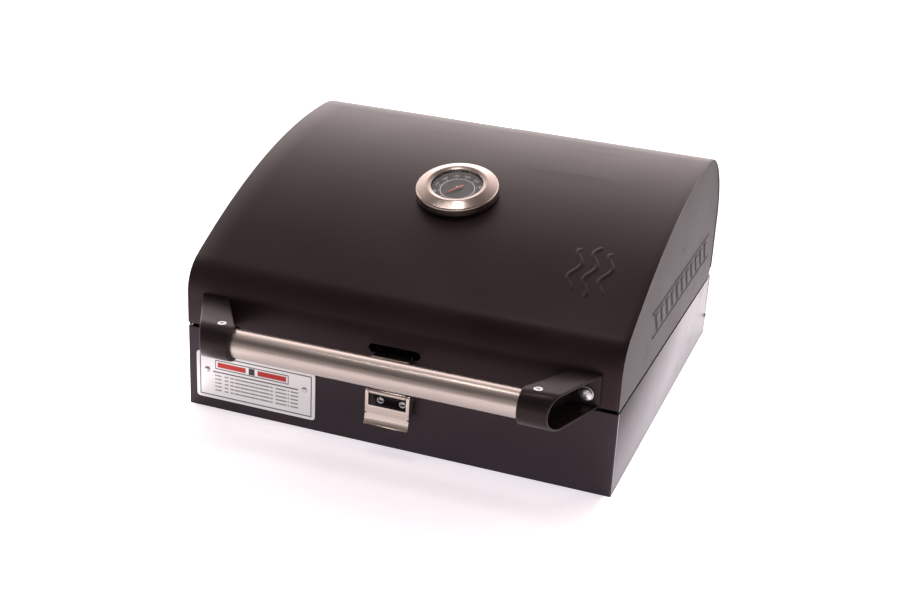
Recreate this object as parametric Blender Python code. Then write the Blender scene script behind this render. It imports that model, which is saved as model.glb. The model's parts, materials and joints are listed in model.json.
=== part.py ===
"""Stove-top barbecue box: an open-bottomed sheet-steel base with grates and heat diffusers, and a
curved hinged lid with a tube handle, a dial thermometer and a draw latch.

Metres, +Z up. The front faces -Y and +X is to the right. The origin is on the ground, at the
middle of the whole box's length and width.
"""
from math import asin, atan2, cos, hypot, pi, radians, sin

import bmesh
import bpy
from mathutils import Matrix, Vector

MM = 0.001

# Overall
BODY_WIDTH = 410 * MM
BODY_DEPTH = 380.5 * MM
OVERALL_HEIGHT = 216.4 * MM
BASE_FRONT_HEIGHT = 79.6 * MM
BASE_REAR_HEIGHT = 66 * MM

# Sheet steel and clearances
SHEET = 1.2 * MM
TOUCH = 0.3 * MM             # between pieces that rest on each other
SEAM_GAP = 1.0 * MM          # lid ends above the base sides
FRONT_SEAM_GAP = 3.4 * MM    # lid front above the base front
REAR_SEAM_GAP = 9.0 * MM     # lid rear wall above the base rear
BOTTOM_FLANGE = 12 * MM
FRONT_RETURN = 3.5 * MM      # front panel wrapped round the side
REAR_RETURN = 6.0 * MM       # rear panel wrapped round the side
RETURN_GAP = 0.5 * MM
JOGGLE = 3 * MM

# Lid outline, seen from the side
LID_FRONT_WALL = 29.4 * MM
FRONT_BEND_RADIUS = 35.3 * MM
ROOF_KNEE = 155.2 * MM       # where the front slope would meet the top, behind the front face
ROOF_FRONT_PULL = 0.956      # fullness of the roof curve towards the knee, from the front
ROOF_REAR_PULL = 0.322       # and from the rear
REAR_BEND_RADIUS = 88.2 * MM
LID_END_RECESS = 0.6 * MM    # lid ends inside the skin's edge
LID_END_CHAMFER = 7 * MM     # lower rear corner of the lid ends

# Supports, grates and heat diffusers
LEDGE_WIDTH = 12 * MM
LEDGE_LEG = 9 * MM
GRATE_DROP = 4.5 * MM        # grate top below the rear rim
GRATE_THICKNESS = 9 * MM
GRATE_SIDE_GAP = 6 * MM
GRATE_END_GAP = 4 * MM
GRATE_SPLIT = 3 * MM         # between the two grates
GRATE_RIM = 8 * MM
GRATE_BAR = 6 * MM
GRATE_SLOTS = 10
GRATE_ROWS = 2
DIFFUSER_RAIL_HEIGHT = 26 * MM
DIFFUSERS = 4
DIFFUSER_WIDTH = 70 * MM
DIFFUSER_RISE = 15 * MM
DIFFUSER_SHEET = 1.5 * MM
DIFFUSER_END_GAP = 3 * MM

# Rating plate on the front
PLATE_WIDTH = 121.1 * MM
PLATE_HEIGHT = 46.9 * MM
PLATE_CORNER = 4 * MM
PLATE_THICKNESS = 0.8 * MM
PLATE_SIDE_MARGIN = 8.6 * MM
PLATE_BOTTOM_MARGIN = 10.4 * MM
PLATE_RIVET_INSET = 11 * MM
PLATE_RIVET_HEIGHT = 29 * MM

# Rivets
RIVET_HEAD_RADIUS = 2.7 * MM
RIVET_HEAD_HEIGHT = 1.4 * MM
RIVET_SHANK_RADIUS = 1.3 * MM
RIVET_TAIL = 2 * MM
REAR_RIVET_HEIGHT = 20 * MM

# Draw latch
LATCH_PIVOT_DROP = 18.6 * MM     # lever pin below the base's front rim
LATCH_PIVOT_OUT = 5 * MM         # lever pin in front of the base
CLAW_PIVOT_OUT = 6 * MM          # claw pin in front of the lever pin
CLAW_PIVOT_DROP = 2 * MM         # claw pin below the lever pin
LATCH_SHEET = 1.2 * MM
LATCH_PIN_RADIUS = 1.2 * MM
PIN_CLEARANCE = 0.25 * MM
LATCH_SIDE_GAP = 0.8 * MM
CLAW_WIDTH = 34.6 * MM
CLAW_BARREL_RADIUS = 2.4 * MM
CLAW_EAR_GAP = 0.5 * MM
CLAW_TIP_GAP = 0.5 * MM          # claw tip in front of the lid's slot
CLAW_TIP_HEIGHT = 1.6 * MM       # claw tip above the slot's lower edge
LATCH_EAR_RADIUS = 3.8 * MM
LATCH_PLATE_HEIGHT = 23 * MM
LATCH_SCREW_SPREAD = 10.6 * MM
LATCH_SCREW_DROP = 14 * MM       # screws below the lever pin
LEVER_FACE_OUT = 13.2 * MM       # lever face in front of the base
LEVER_FACE_DROP = 23 * MM        # foot of the lever's flat face below its pin
LEVER_LIP_DROP = 32.5 * MM
LEVER_LIP_OUT = 3.6 * MM
LEVER_WINDOW_DROP = 15 * MM
LEVER_WINDOW_GAP = 0.7 * MM       # each side of the claw
LEVER_WINDOW_WIDTH = CLAW_WIDTH + 2 * LEVER_WINDOW_GAP
LEVER_NOTCH = 1.4 * MM
LEVER_CHEEK_FOOT = 4 * MM
SLOT_WIDTH = 49.4 * MM
SLOT_HEIGHT = 8.5 * MM
SLOT_CENTRE = 12.5 * MM          # above the lid's front edge

# Hinges
HINGE_STANDOFF = 4.5 * MM        # pin behind the rear face
HINGE_RISE = 4 * MM              # pin above the base's rear rim
HINGE_WIDTH = 60 * MM
HINGE_SIDE_INSET = 75 * MM       # hinge centre from the side
HINGE_LEAF = 26 * MM
HINGE_LEAF_CLEARANCE = 4.5 * MM  # leaf edge from the pin's axis
HINGE_THICKNESS = 1.5 * MM
KNUCKLE_RADIUS = 3.2 * MM
KNUCKLE_GAP = 0.4 * MM
HINGE_PIN_RADIUS = 1.3 * MM

# Handle
HANDLE_STANDOFF = 44.5 * MM      # tube axis in front of the lid
HANDLE_RISE = 12.2 * MM          # tube axis above the lid's front edge
TUBE_RADIUS = 13 * MM
TUBE_WALL = 1.2 * MM
BRACKET_WIDTH = 26.4 * MM
BRACKET_WALL = 2.2 * MM
BRACKET_WEB = 3 * MM
BRACKET_SIDE_INSET = 29.3 * MM   # bracket foot's middle from the lid's side
BRACKET_SKEW = 30 * MM           # nose further in than the foot
BRACKET_FOOT_LOW = 1.2 * MM      # above the lid's front edge
BRACKET_FOOT_HIGH = 32 * MM
SOCKET_DEPTH = 20 * MM
SOCKET_END_WALL = 2 * MM
SOCKET_WALL = 1.8 * MM
NOSE_COVER = 1.9 * MM            # bracket nose over the tube's socket
NOSE_RADIUS = TUBE_RADIUS + TOUCH + SOCKET_WALL + NOSE_COVER

# Screws
SCREW_CLEARANCE = 0.3 * MM
BRACKET_SCREW_RADIUS = 2.3 * MM
BRACKET_SCREW_HEAD = 6.4 * MM
BRACKET_SCREW_DOME = 3.6 * MM
BRACKET_SCREW_TAIL = 8 * MM
WASHER_RADIUS = 7 * MM
WASHER_THICKNESS = 1.2 * MM
NUT_RADIUS = 4.6 * MM            # over the corners
NUT_THICKNESS = 4 * MM
NOSE_SCREW_RADIUS = 1.5 * MM
NOSE_SCREW_HEAD = 4 * MM
NOSE_SCREW_CONE = 2.2 * MM
NOSE_SCREW_LENGTH = 9 * MM
LATCH_SCREW_RADIUS = 1.6 * MM
LATCH_SCREW_HEAD = 3.4 * MM
LATCH_SCREW_DOME = 2 * MM
LATCH_SCREW_TAIL = 3 * MM
SCREW_EDGE_SHARE = 0.35          # height of a pan head's edge, as a share of its dome

# Thermometer; heights are above the lid's surface, along its own axis
THERMO_SETBACK = 146.05 * MM     # behind the front face
BEZEL_RADIUS = 39 * MM
BEZEL_SIDE = 8 * MM
BEZEL_HEIGHT = 13.2 * MM
BEZEL_LAND_RADIUS = 29.5 * MM
WINDOW_RADIUS = 24.4 * MM
LIP_THICKNESS = 1.8 * MM
GASKET_RADIUS = 36.5 * MM
GASKET_THICKNESS = 1.0 * MM
CASE_RADIUS = 27 * MM
CASE_WALL = 1.0 * MM
LENS_THICKNESS = 1.2 * MM
DIAL_THICKNESS = 0.8 * MM
DIAL_LIFT = 2.8 * MM             # dial above the case floor
COLLAR_RADIUS = 5 * MM
COLLAR_LENGTH = 10 * MM          # below the lid's surface
STEM_RADIUS = 3.2 * MM
STEM_BORE = 2.4 * MM
STEM_LENGTH = 50 * MM
STEM_TIP = 2 * MM
LOCK_NUT_RADIUS = 9.2 * MM
POINTER_LENGTH = 12.5 * MM
POINTER_TAIL = 6.8 * MM
POINTER_HALF_WIDTH = 1.5 * MM
POINTER_BELLY = 0.5 * MM         # wider again at the hub
POINTER_THICKNESS = 0.6 * MM
POINTER_LIFT = 0.9 * MM          # above the dial
POINTER_ANGLE = radians(-126.6)  # cold position, from +X
SPINDLE_RADIUS = 0.6 * MM
HUB_RADIUS = 1.8 * MM
HUB_HEIGHT = 0.9 * MM
COIL_RADIUS = 1.5 * MM
COIL_WIRE = 0.5 * MM
COIL_TURNS = 9
COIL_PITCH = 2.4 * MM
COIL_STEPS = 12                  # per turn
COIL_DEPTH = 12 * MM             # top of the coil below the lid's surface

# Facets
ROUND = 32
SMALL_ROUND = 16
ARC_STEPS = 10
ROOF_STEPS = 18
LIP_STEPS = 5

# Derived places
FORE_REACH = HANDLE_STANDOFF + NOSE_RADIUS
AFT_REACH = HINGE_STANDOFF + KNUCKLE_RADIUS
FRONT_Y = (FORE_REACH - AFT_REACH - BODY_DEPTH) / 2
REAR_Y = FRONT_Y + BODY_DEPTH
SIDE_X = BODY_WIDTH / 2
LID_FRONT_Z = BASE_FRONT_HEIGHT + FRONT_SEAM_GAP
LID_REAR_Z = BASE_REAR_HEIGHT + REAR_SEAM_GAP
HANDLE_Y = FRONT_Y - HANDLE_STANDOFF
HANDLE_Z = LID_FRONT_Z + HANDLE_RISE
HINGE_Y = REAR_Y + HINGE_STANDOFF
HINGE_Z = BASE_REAR_HEIGHT + HINGE_RISE
SLOT_Z = LID_FRONT_Z + SLOT_CENTRE
LEVER_PIN = (FRONT_Y - LATCH_PIVOT_OUT, BASE_FRONT_HEIGHT - LATCH_PIVOT_DROP)
CLAW_PIN = (LEVER_PIN[0] - CLAW_PIVOT_OUT, LEVER_PIN[1] - CLAW_PIVOT_DROP)
GRATE_Z = BASE_REAR_HEIGHT - GRATE_DROP - GRATE_THICKNESS
EAR_INNER = CLAW_WIDTH / 2 + CLAW_EAR_GAP
EAR_OUTER = EAR_INNER + LATCH_SHEET
CHEEK_INNER = EAR_OUTER + LATCH_SIDE_GAP
CHEEK_OUTER = CHEEK_INNER + LATCH_SHEET
FOOT_X = SIDE_X - BRACKET_SIDE_INSET
NOSE_X = FOOT_X - BRACKET_SKEW
SEAM_SLOPE = (BASE_REAR_HEIGHT - BASE_FRONT_HEIGHT) / BODY_DEPTH

FACING_FRONT = Matrix.Rotation(pi / 2, 4, "X")    # turns +Z to -Y
FACING_RIGHT = Matrix.Rotation(pi / 2, 4, "Y")    # turns +Z to +X

for old in list(bpy.data.objects):
    bpy.data.objects.remove(old)


# Shared modelling helpers

def material(name, colour, roughness, metallic):
    made = bpy.data.materials.new(name)
    made.use_nodes = True
    shader = made.node_tree.nodes["Principled BSDF"]
    shader.inputs["Base Color"].default_value = (*colour, 1)
    shader.inputs["Roughness"].default_value = roughness
    shader.inputs["Metallic"].default_value = metallic
    return made


BLACK_PAINT = material("black_paint", (0.035, 0.03, 0.03), 0.42, 0.1)
STAINLESS = material("stainless", (0.62, 0.58, 0.54), 0.3, 1.0)
ZINC = material("zinc_plate", (0.6, 0.6, 0.58), 0.35, 1.0)
CAST_IRON = material("cast_iron", (0.05, 0.05, 0.05), 0.7, 0.4)
STEEL = material("raw_steel", (0.32, 0.31, 0.3), 0.5, 1.0)
CAST_BLACK = material("cast_black", (0.03, 0.028, 0.028), 0.5, 0.1)
PLATE_WHITE = material("plate_white", (0.8, 0.8, 0.8), 0.35, 0.3)
GASKET_BLACK = material("gasket_black", (0.02, 0.02, 0.02), 0.85, 0.0)
DIAL_GREY = material("dial_grey", (0.1, 0.1, 0.1), 0.5, 0.0)
GLASS = material("glass", (0.9, 0.92, 0.92), 0.03, 0.0)
POINTER_RED = material("pointer_red", (0.55, 0.08, 0.03), 0.4, 0.0)


def add(name, bm, surface, place=None, pivot=None):
    """Put a finished bmesh in the scene as one object, at a place and under a joint's empty."""
    bmesh.ops.remove_doubles(bm, verts=bm.verts, dist=MM / 1000)
    bmesh.ops.recalc_face_normals(bm, faces=bm.faces)
    mesh = bpy.data.meshes.new(name)
    bm.to_mesh(mesh)
    bm.free()
    mesh.materials.append(surface)
    mesh.shade_smooth()
    mesh.set_sharp_from_angle(angle=radians(35))
    made = bpy.data.objects.new(name, mesh)
    bpy.context.collection.objects.link(made)
    if place is not None:
        made.matrix_world = place
    if pivot is not None:
        made.parent = pivot
        made.matrix_parent_inverse = Matrix.Translation(pivot.location).inverted()
    return made


def joint_empty(name, point):
    made = bpy.data.objects.new(name, None)
    made.location = point
    bpy.context.collection.objects.link(made)
    return made


def prism(outline, axis, *stations):
    """Extrude a closed outline along X, Y or Z, with a ring of vertices at each station.

    The outline's two numbers are the other two axes, in X, Y, Z order.
    """
    bm = bmesh.new()
    order = {"X": (1, 2), "Y": (0, 2), "Z": (0, 1)}[axis]
    along = "XYZ".index(axis)
    corners = []
    for first, second in outline:
        point = Vector((0, 0, 0))
        point[order[0]], point[order[1]], point[along] = first, second, stations[0]
        corners.append(bm.verts.new(point))
    face = bm.faces.new(corners)
    for low, high in zip(stations, stations[1:]):
        result = bmesh.ops.extrude_face_region(bm, geom=[face])["geom"]
        step = Vector((0, 0, 0))
        step[along] = high - low
        moving = [item for item in result if isinstance(item, bmesh.types.BMVert)]
        bmesh.ops.translate(bm, vec=step, verts=moving)
        if low != stations[0]:
            bmesh.ops.delete(bm, geom=[face], context="FACES_ONLY")
        face = next(item for item in result if isinstance(item, bmesh.types.BMFace))
    bmesh.ops.recalc_face_normals(bm, faces=bm.faces)
    return bm


def block(low, high):
    """A rectangular solid between two corners."""
    (x0, y0, z0), (x1, y1, z1) = low, high
    return prism([(x0, y0), (x1, y0), (x1, y1), (x0, y1)], "Z", z0, z1)


def turned(profile, steps):
    """Spin a profile of (radius, height) points about Z. A profile that ends on the axis is
    left open there; any other is closed into a ring."""
    bm = bmesh.new()
    points = [bm.verts.new((radius, 0, height)) for radius, height in profile]
    edges = [bm.edges.new(pair) for pair in zip(points, points[1:])]
    if profile[0][0] > 0:
        edges.append(bm.edges.new((points[-1], points[0])))
    bmesh.ops.spin(bm, geom=points + edges, cent=(0, 0, 0), axis=(0, 0, 1), angle=2 * pi,
                   steps=steps, use_merge=True)
    bmesh.ops.remove_doubles(bm, verts=bm.verts, dist=MM / 1000)
    bmesh.ops.recalc_face_normals(bm, faces=bm.faces)
    return bm


def rod(radius, low, high, steps=SMALL_ROUND):
    return turned([(0, low), (radius, low), (radius, high), (0, high)], steps)


def ring(inner, outer, low, high, steps=ROUND):
    return turned([(inner, low), (outer, low), (outer, high), (inner, high)], steps)


def moved(bm, place):
    bmesh.ops.transform(bm, matrix=place, verts=bm.verts)
    return bm


def at(x, y, z, turn=Matrix()):
    return Matrix.Translation((x, y, z)) @ turn


def combine(target, tool, operation):
    """Cut a bmesh tool from an object, or join it on, and keep the result as plain mesh."""
    guide = add("guide", tool, target.data.materials[0])
    guide.hide_render = True
    guide.display_type = "WIRE"
    change = target.modifiers.new("change", "BOOLEAN")
    change.operation = operation
    change.object = guide
    view = bpy.context.evaluated_depsgraph_get()
    result = bpy.data.meshes.new_from_object(target.evaluated_get(view))
    target.modifiers.remove(change)
    old = target.data
    target.data = result
    bpy.data.meshes.remove(old)
    result.name = target.name
    bpy.data.objects.remove(guide)
    tidy = bmesh.new()
    tidy.from_mesh(result)
    bmesh.ops.remove_doubles(tidy, verts=tidy.verts, dist=MM / 1000)
    bmesh.ops.dissolve_degenerate(tidy, edges=tidy.edges, dist=MM / 1000)
    tidy.to_mesh(result)
    tidy.free()


def cut(target, *tools):
    for tool in tools:
        combine(target, tool, "DIFFERENCE")


def join(target, *tools):
    for tool in tools:
        combine(target, tool, "UNION")


def facing(bm, direction, low=None, high=None):
    """Faces that look along a direction, with centres inside optional limits."""
    found = []
    for face in bm.faces:
        centre = face.calc_center_median()
        if face.normal.dot(Vector(direction)) < 0.99:
            continue
        if low and any(c < l for c, l in zip(centre, low) if l is not None):
            continue
        if high and any(c > h for c, h in zip(centre, high) if h is not None):
            continue
        found.append(face)
    return found


def pull(bm, faces, step):
    """Extrude faces by a step, the way a flange grows from a wall."""
    result = bmesh.ops.extrude_face_region(bm, geom=faces)["geom"]
    moving = [item for item in result if isinstance(item, bmesh.types.BMVert)]
    bmesh.ops.translate(bm, vec=Vector(step), verts=moving)
    bmesh.ops.delete(bm, geom=[face for face in faces if face.is_valid], context="FACES_ONLY")


def arc(centre, radius, start, end, steps):
    """Points on an arc, both ends included; angles are in radians."""
    return [(centre[0] + radius * cos(start + (end - start) * i / steps),
             centre[1] + radius * sin(start + (end - start) * i / steps)) for i in range(steps + 1)]


def rounded(low, high, radius, steps=4):
    """A rectangle with round corners."""
    (x0, y0), (x1, y1) = low, high
    points = []
    for quarter, (x, y) in enumerate(((x1, y1), (x0, y1), (x0, y0), (x1, y0))):
        centre = (x - radius if x == x1 else x + radius, y - radius if y == y1 else y + radius)
        points += arc(centre, radius, quarter * pi / 2, (quarter + 1) * pi / 2, steps)
    return points


def obround(centre, width, height, steps=8):
    """A slot with round ends."""
    reach = (width - height) / 2
    right = arc((centre[0] + reach, centre[1]), height / 2, -pi / 2, pi / 2, steps)
    left = arc((centre[0] - reach, centre[1]), height / 2, pi / 2, 3 * pi / 2, steps)
    return right + left


def seam_z(y):
    """Height of the base's rim, which falls to the rear."""
    return BASE_FRONT_HEIGHT + SEAM_SLOPE * (y - FRONT_Y)


# Lid outline

def roof_ends():
    """The roof curve's four control points, from the front bend to the rear bend."""
    centre = (FRONT_Y + FRONT_BEND_RADIUS, LID_FRONT_Z + LID_FRONT_WALL)
    knee = (FRONT_Y + ROOF_KNEE, OVERALL_HEIGHT)
    rise, run = knee[1] - centre[1], knee[0] - centre[0]
    slope = atan2(rise, run) - asin(FRONT_BEND_RADIUS / hypot(rise, run))
    start = on_circle(centre, FRONT_BEND_RADIUS, slope)
    end = (REAR_Y - REAR_BEND_RADIUS, OVERALL_HEIGHT)
    first = [a + ROOF_FRONT_PULL * (b - a) for a, b in zip(start, knee)]
    second = [a + ROOF_REAR_PULL * (b - a) for a, b in zip(end, knee)]
    return centre, slope, (start, first, second, end)


def roof_point(t):
    """A point on the roof curve and its slope."""
    p0, p1, p2, p3 = roof_ends()[2]
    u = 1 - t
    place = [u ** 3 * a + 3 * u * u * t * b + 3 * u * t * t * c + t ** 3 * d
             for a, b, c, d in zip(p0, p1, p2, p3)]
    speed = [u * u * (b - a) + 2 * u * t * (c - b) + t * t * (d - c) for a, b, c, d in zip(p0, p1, p2, p3)]
    return place, atan2(speed[1], speed[0])


def on_circle(centre, radius, slope):
    """The point of a circle over the lid where its tangent has this slope."""
    return centre[0] - radius * sin(slope), centre[1] + radius * cos(slope)


def lid_path(inset, front_z, rear_z):
    """The lid's outline from its front edge over the top to its rear edge, offset inwards."""
    centre, slope, _ = roof_ends()
    stations = [((FRONT_Y, front_z), pi / 2)]
    for i in range(ARC_STEPS + 1):
        angle = pi / 2 + (slope - pi / 2) * i / ARC_STEPS
        stations.append((on_circle(centre, FRONT_BEND_RADIUS, angle), angle))
    stations += [roof_point(i / ROOF_STEPS) for i in range(1, ROOF_STEPS)]
    middle = (REAR_Y - REAR_BEND_RADIUS, OVERALL_HEIGHT - REAR_BEND_RADIUS)
    for i in range(ARC_STEPS + 1):
        angle = -pi / 2 * i / ARC_STEPS
        stations.append((on_circle(middle, REAR_BEND_RADIUS, angle), angle))
    stations.append(((REAR_Y, rear_z), -pi / 2))
    return [(y + inset * sin(angle), z - inset * cos(angle)) for (y, z), angle in stations]


# Base

def wrap_panel(name, wall_y, inward, height, corner_return):
    """Front or rear panel: a wall whose ends wrap round the corners, with a bottom flange."""
    back = wall_y + inward * SHEET
    tip = wall_y + inward * corner_return
    reach = SIDE_X - SHEET - BOTTOM_FLANGE
    outline = [(-SIDE_X, wall_y), (SIDE_X, wall_y), (SIDE_X, tip), (SIDE_X - SHEET, tip),
               (SIDE_X - SHEET, back), (reach, back), (-reach, back), (SHEET - SIDE_X, back),
               (SHEET - SIDE_X, tip), (-SIDE_X, tip)]
    bm = prism(outline, "Z", 0, SHEET, height)
    inner = [face for face in facing(bm, (0, inward, 0), high=(None, None, SHEET))
             if abs(face.calc_center_median().x) < TOUCH]
    pull(bm, inner, (0, inward * (BOTTOM_FLANGE - SHEET), 0))
    return add(name, bm, BLACK_PAINT)


def side_panel(name, side):
    """Side panel: joggled behind the corner returns, with a sloping rim and a bottom flange."""
    outer, inner = SIDE_X, SIDE_X - SHEET
    tab_outer = inner - TOUCH
    tab_inner = tab_outer - SHEET
    front, rear = FRONT_Y + FRONT_RETURN + RETURN_GAP, REAR_Y - REAR_RETURN - RETURN_GAP
    front_tab, rear_tab = FRONT_Y + SHEET + TOUCH, REAR_Y - SHEET - TOUCH
    outline = [(outer, front), (outer, rear), (tab_outer, rear), (tab_outer, rear_tab),
               (tab_inner, rear_tab), (tab_inner, rear - SHEET), (inner, rear - JOGGLE),
               (inner, front + JOGGLE), (tab_inner, front + SHEET), (tab_inner, front_tab),
               (tab_outer, front_tab), (tab_outer, front)]
    bm = prism([(side * x, y) for x, y in outline], "Z", 0, SHEET, max(BASE_FRONT_HEIGHT, BASE_REAR_HEIGHT))
    everything = bm.verts[:] + bm.edges[:] + bm.faces[:]
    bmesh.ops.bisect_plane(bm, geom=everything, plane_co=(0, FRONT_Y, BASE_FRONT_HEIGHT - TOUCH),
                           plane_no=(0, -SEAM_SLOPE, 1), clear_outer=True)
    bmesh.ops.holes_fill(bm, edges=[edge for edge in bm.edges if edge.is_boundary], sides=0)
    bmesh.ops.recalc_face_normals(bm, faces=bm.faces)
    walls = [face for face in facing(bm, (-side, 0, 0), high=(None, None, SHEET))
             if abs(abs(face.calc_center_median().x) - inner) < TOUCH / 2]
    pull(bm, walls, (-side * (BOTTOM_FLANGE - SHEET), 0, 0))
    return add(name, bm, BLACK_PAINT)


def ledge(name, wall_y, inward, top):
    """An angle strip inside the front or rear wall that carries grates or diffusers."""
    start = wall_y + inward * (SHEET + TOUCH)
    step = start + inward * SHEET
    end = start + inward * LEDGE_WIDTH
    outline = [(start, top - SHEET), (end, top - SHEET), (end, top), (step, top),
               (step, top + LEDGE_LEG), (start, top + LEDGE_LEG)]
    reach = SIDE_X - 2 * SHEET - 2 * TOUCH - JOGGLE
    return add(name, prism(outline, "X", -reach, reach), STEEL)


def grate(name, low_x, high_x):
    """One cast grate: a rim, long bars and a cross bar, cut from one plate."""
    low_y = FRONT_Y + SHEET + TOUCH + GRATE_END_GAP
    high_y = REAR_Y - SHEET - TOUCH - GRATE_END_GAP
    pitch = (high_x - low_x - 2 * GRATE_RIM + GRATE_BAR) / GRATE_SLOTS
    row = (high_y - low_y - 2 * GRATE_RIM + GRATE_RIM) / GRATE_ROWS
    xs, ys = [low_x], [low_y]
    for i in range(GRATE_SLOTS):
        start = low_x + GRATE_RIM + i * pitch
        xs += [start, start + pitch - GRATE_BAR]
    for i in range(GRATE_ROWS):
        start = low_y + GRATE_RIM + i * row
        ys += [start, start + row - GRATE_RIM]
    xs.append(high_x)
    ys.append(high_y)
    bm = bmesh.new()
    grid = [[bm.verts.new((x, y, GRATE_Z)) for y in ys] for x in xs]
    for i in range(len(xs) - 1):
        for j in range(len(ys) - 1):
            if i % 2 and j % 2:
                continue
            bm.faces.new((grid[i][j], grid[i + 1][j], grid[i + 1][j + 1], grid[i][j + 1]))
    result = bmesh.ops.extrude_face_region(bm, geom=bm.faces[:])["geom"]
    bmesh.ops.translate(bm, vec=(0, 0, GRATE_THICKNESS),
                        verts=[item for item in result if isinstance(item, bmesh.types.BMVert)])
    return add(name, bm, CAST_IRON)


def diffuser(name, centre_x):
    """A folded roof of sheet that turns the flame into even heat and sheds the drippings."""
    half = DIFFUSER_WIDTH / 2
    foot = DIFFUSER_RAIL_HEIGHT + TOUCH
    lean = DIFFUSER_SHEET * half / DIFFUSER_RISE
    outline = [(centre_x - half, foot), (centre_x - half + lean, foot),
               (centre_x, foot + DIFFUSER_RISE - DIFFUSER_SHEET), (centre_x + half - lean, foot),
               (centre_x + half, foot), (centre_x, foot + DIFFUSER_RISE)]
    gap = SHEET + TOUCH + DIFFUSER_END_GAP
    return add(name, prism(outline, "Y", FRONT_Y + gap, REAR_Y - gap), STEEL)


def rivet(name, place, pivot=None):
    """A domed rivet whose head stands on its object's XY plane."""
    dome = [(RIVET_HEAD_RADIUS * cos(a), RIVET_HEAD_HEIGHT * sin(a)) for a in (pi / 6, pi / 3)]
    profile = [(0, -RIVET_TAIL), (RIVET_SHANK_RADIUS, -RIVET_TAIL), (RIVET_SHANK_RADIUS, 0),
               (RIVET_HEAD_RADIUS, 0), *dome, (0, RIVET_HEAD_HEIGHT)]
    return add(name, turned(profile, SMALL_ROUND), ZINC, place, pivot)


def hole_tool(radius, depth, place):
    return moved(rod(radius, -depth, depth), place)


def build_base():
    front = wrap_panel("base_front_panel", FRONT_Y, 1, BASE_FRONT_HEIGHT, FRONT_RETURN)
    rear = wrap_panel("base_rear_panel", REAR_Y, -1, BASE_REAR_HEIGHT, REAR_RETURN)
    sides = {1: side_panel("base_right_panel", 1), -1: side_panel("base_left_panel", -1)}
    for level, top in (("grate", GRATE_Z - TOUCH), ("diffuser", DIFFUSER_RAIL_HEIGHT)):
        ledge(level + "_ledge_front", FRONT_Y, 1, top)
        ledge(level + "_ledge_rear", REAR_Y, -1, top)
    edge = SIDE_X - SHEET - GRATE_SIDE_GAP
    grate("grate_left", -edge, -GRATE_SPLIT / 2)
    grate("grate_right", GRATE_SPLIT / 2, edge)
    for i in range(DIFFUSERS):
        share = (i + 0.5) / DIFFUSERS
        diffuser("heat_diffuser_%d" % (i + 1), (share * 2 - 1) * edge)
    for side, panel in sides.items():
        name = "rear_rivet_right" if side > 0 else "rear_rivet_left"
        turn = Matrix.Rotation(side * pi / 2, 4, "Y")
        place = at(side * (SIDE_X + TOUCH), REAR_Y - REAR_RETURN / 2, REAR_RIVET_HEIGHT, turn)
        rivet(name, place)
        for wall in (rear, panel):
            cut(wall, hole_tool(RIVET_SHANK_RADIUS + SCREW_CLEARANCE, 2 * RIVET_TAIL, place))
    return front


def build_plate(front):
    """Blank rating plate, held by two rivets."""
    low = (-SIDE_X + PLATE_SIDE_MARGIN, PLATE_BOTTOM_MARGIN)
    high = (low[0] + PLATE_WIDTH, low[1] + PLATE_HEIGHT)
    face = FRONT_Y - TOUCH
    outline = rounded(low, high, PLATE_CORNER)
    plate = add("label_plate", prism(outline, "Y", face, face - PLATE_THICKNESS), PLATE_WHITE)
    for side, x in (("left", low[0] + PLATE_RIVET_INSET), ("right", high[0] - PLATE_RIVET_INSET)):
        place = at(x, face - PLATE_THICKNESS - TOUCH, low[1] + PLATE_RIVET_HEIGHT, FACING_FRONT)
        rivet("label_rivet_" + side, place)
        for wall in (plate, front):
            cut(wall, hole_tool(RIVET_SHANK_RADIUS + SCREW_CLEARANCE, 2 * RIVET_TAIL, place))


# Draw latch

def latch_plate(front):
    """Keeper plate with two round ears for the lever's pin, screwed to the base."""
    back, face = FRONT_Y - TOUCH, FRONT_Y - TOUCH - LATCH_SHEET
    top, bottom = LEVER_PIN[1], LEVER_PIN[1] + TOUCH - LATCH_PLATE_HEIGHT
    outline = [(-EAR_OUTER, back), (EAR_OUTER, back), (EAR_OUTER, face), (EAR_INNER, face),
               (-EAR_INNER, face), (-EAR_OUTER, face)]
    plate = add("latch_plate", prism(outline, "Z", bottom, top), STAINLESS)
    ear = [(back, LEVER_PIN[1] - LATCH_EAR_RADIUS)]
    ear += arc(LEVER_PIN, LATCH_EAR_RADIUS, -pi / 2, -3 * pi / 2, SMALL_ROUND // 2)
    ear.append((back, LEVER_PIN[1] + LATCH_EAR_RADIUS))
    for side in (-1, 1):
        join(plate, prism(ear, "X", side * EAR_INNER, side * EAR_OUTER))
    pin_hole = at(0, LEVER_PIN[0], LEVER_PIN[1], FACING_RIGHT)
    cut(plate, hole_tool(LATCH_PIN_RADIUS + PIN_CLEARANCE, 2 * EAR_OUTER, pin_hole))
    for name, x in (("latch_screw_left", -LATCH_SCREW_SPREAD), ("latch_screw_right", LATCH_SCREW_SPREAD)):
        place = at(x, face - TOUCH, LEVER_PIN[1] - LATCH_SCREW_DROP, FACING_FRONT)
        length = LATCH_SCREW_TAIL + SHEET
        pan_screw(name, place, LATCH_SCREW_HEAD, LATCH_SCREW_DOME, LATCH_SCREW_RADIUS, length)
        for wall in (plate, front):
            cut(wall, hole_tool(LATCH_SCREW_RADIUS + SCREW_CLEARANCE, 2 * LATCH_SCREW_TAIL, place))


def pan_screw(name, place, head, dome, shank, length, pivot=None):
    """A round-headed screw whose head stands on its object's XY plane."""
    edge = dome * SCREW_EDGE_SHARE
    crown = [(head * cos(a), edge + (dome - edge) * sin(a)) for a in (0, pi / 6, pi / 3)]
    profile = [(0, -length), (shank, -length), (shank, 0), (head, 0), *crown, (0, dome)]
    return add(name, turned(profile, SMALL_ROUND), ZINC, place, pivot)


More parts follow.
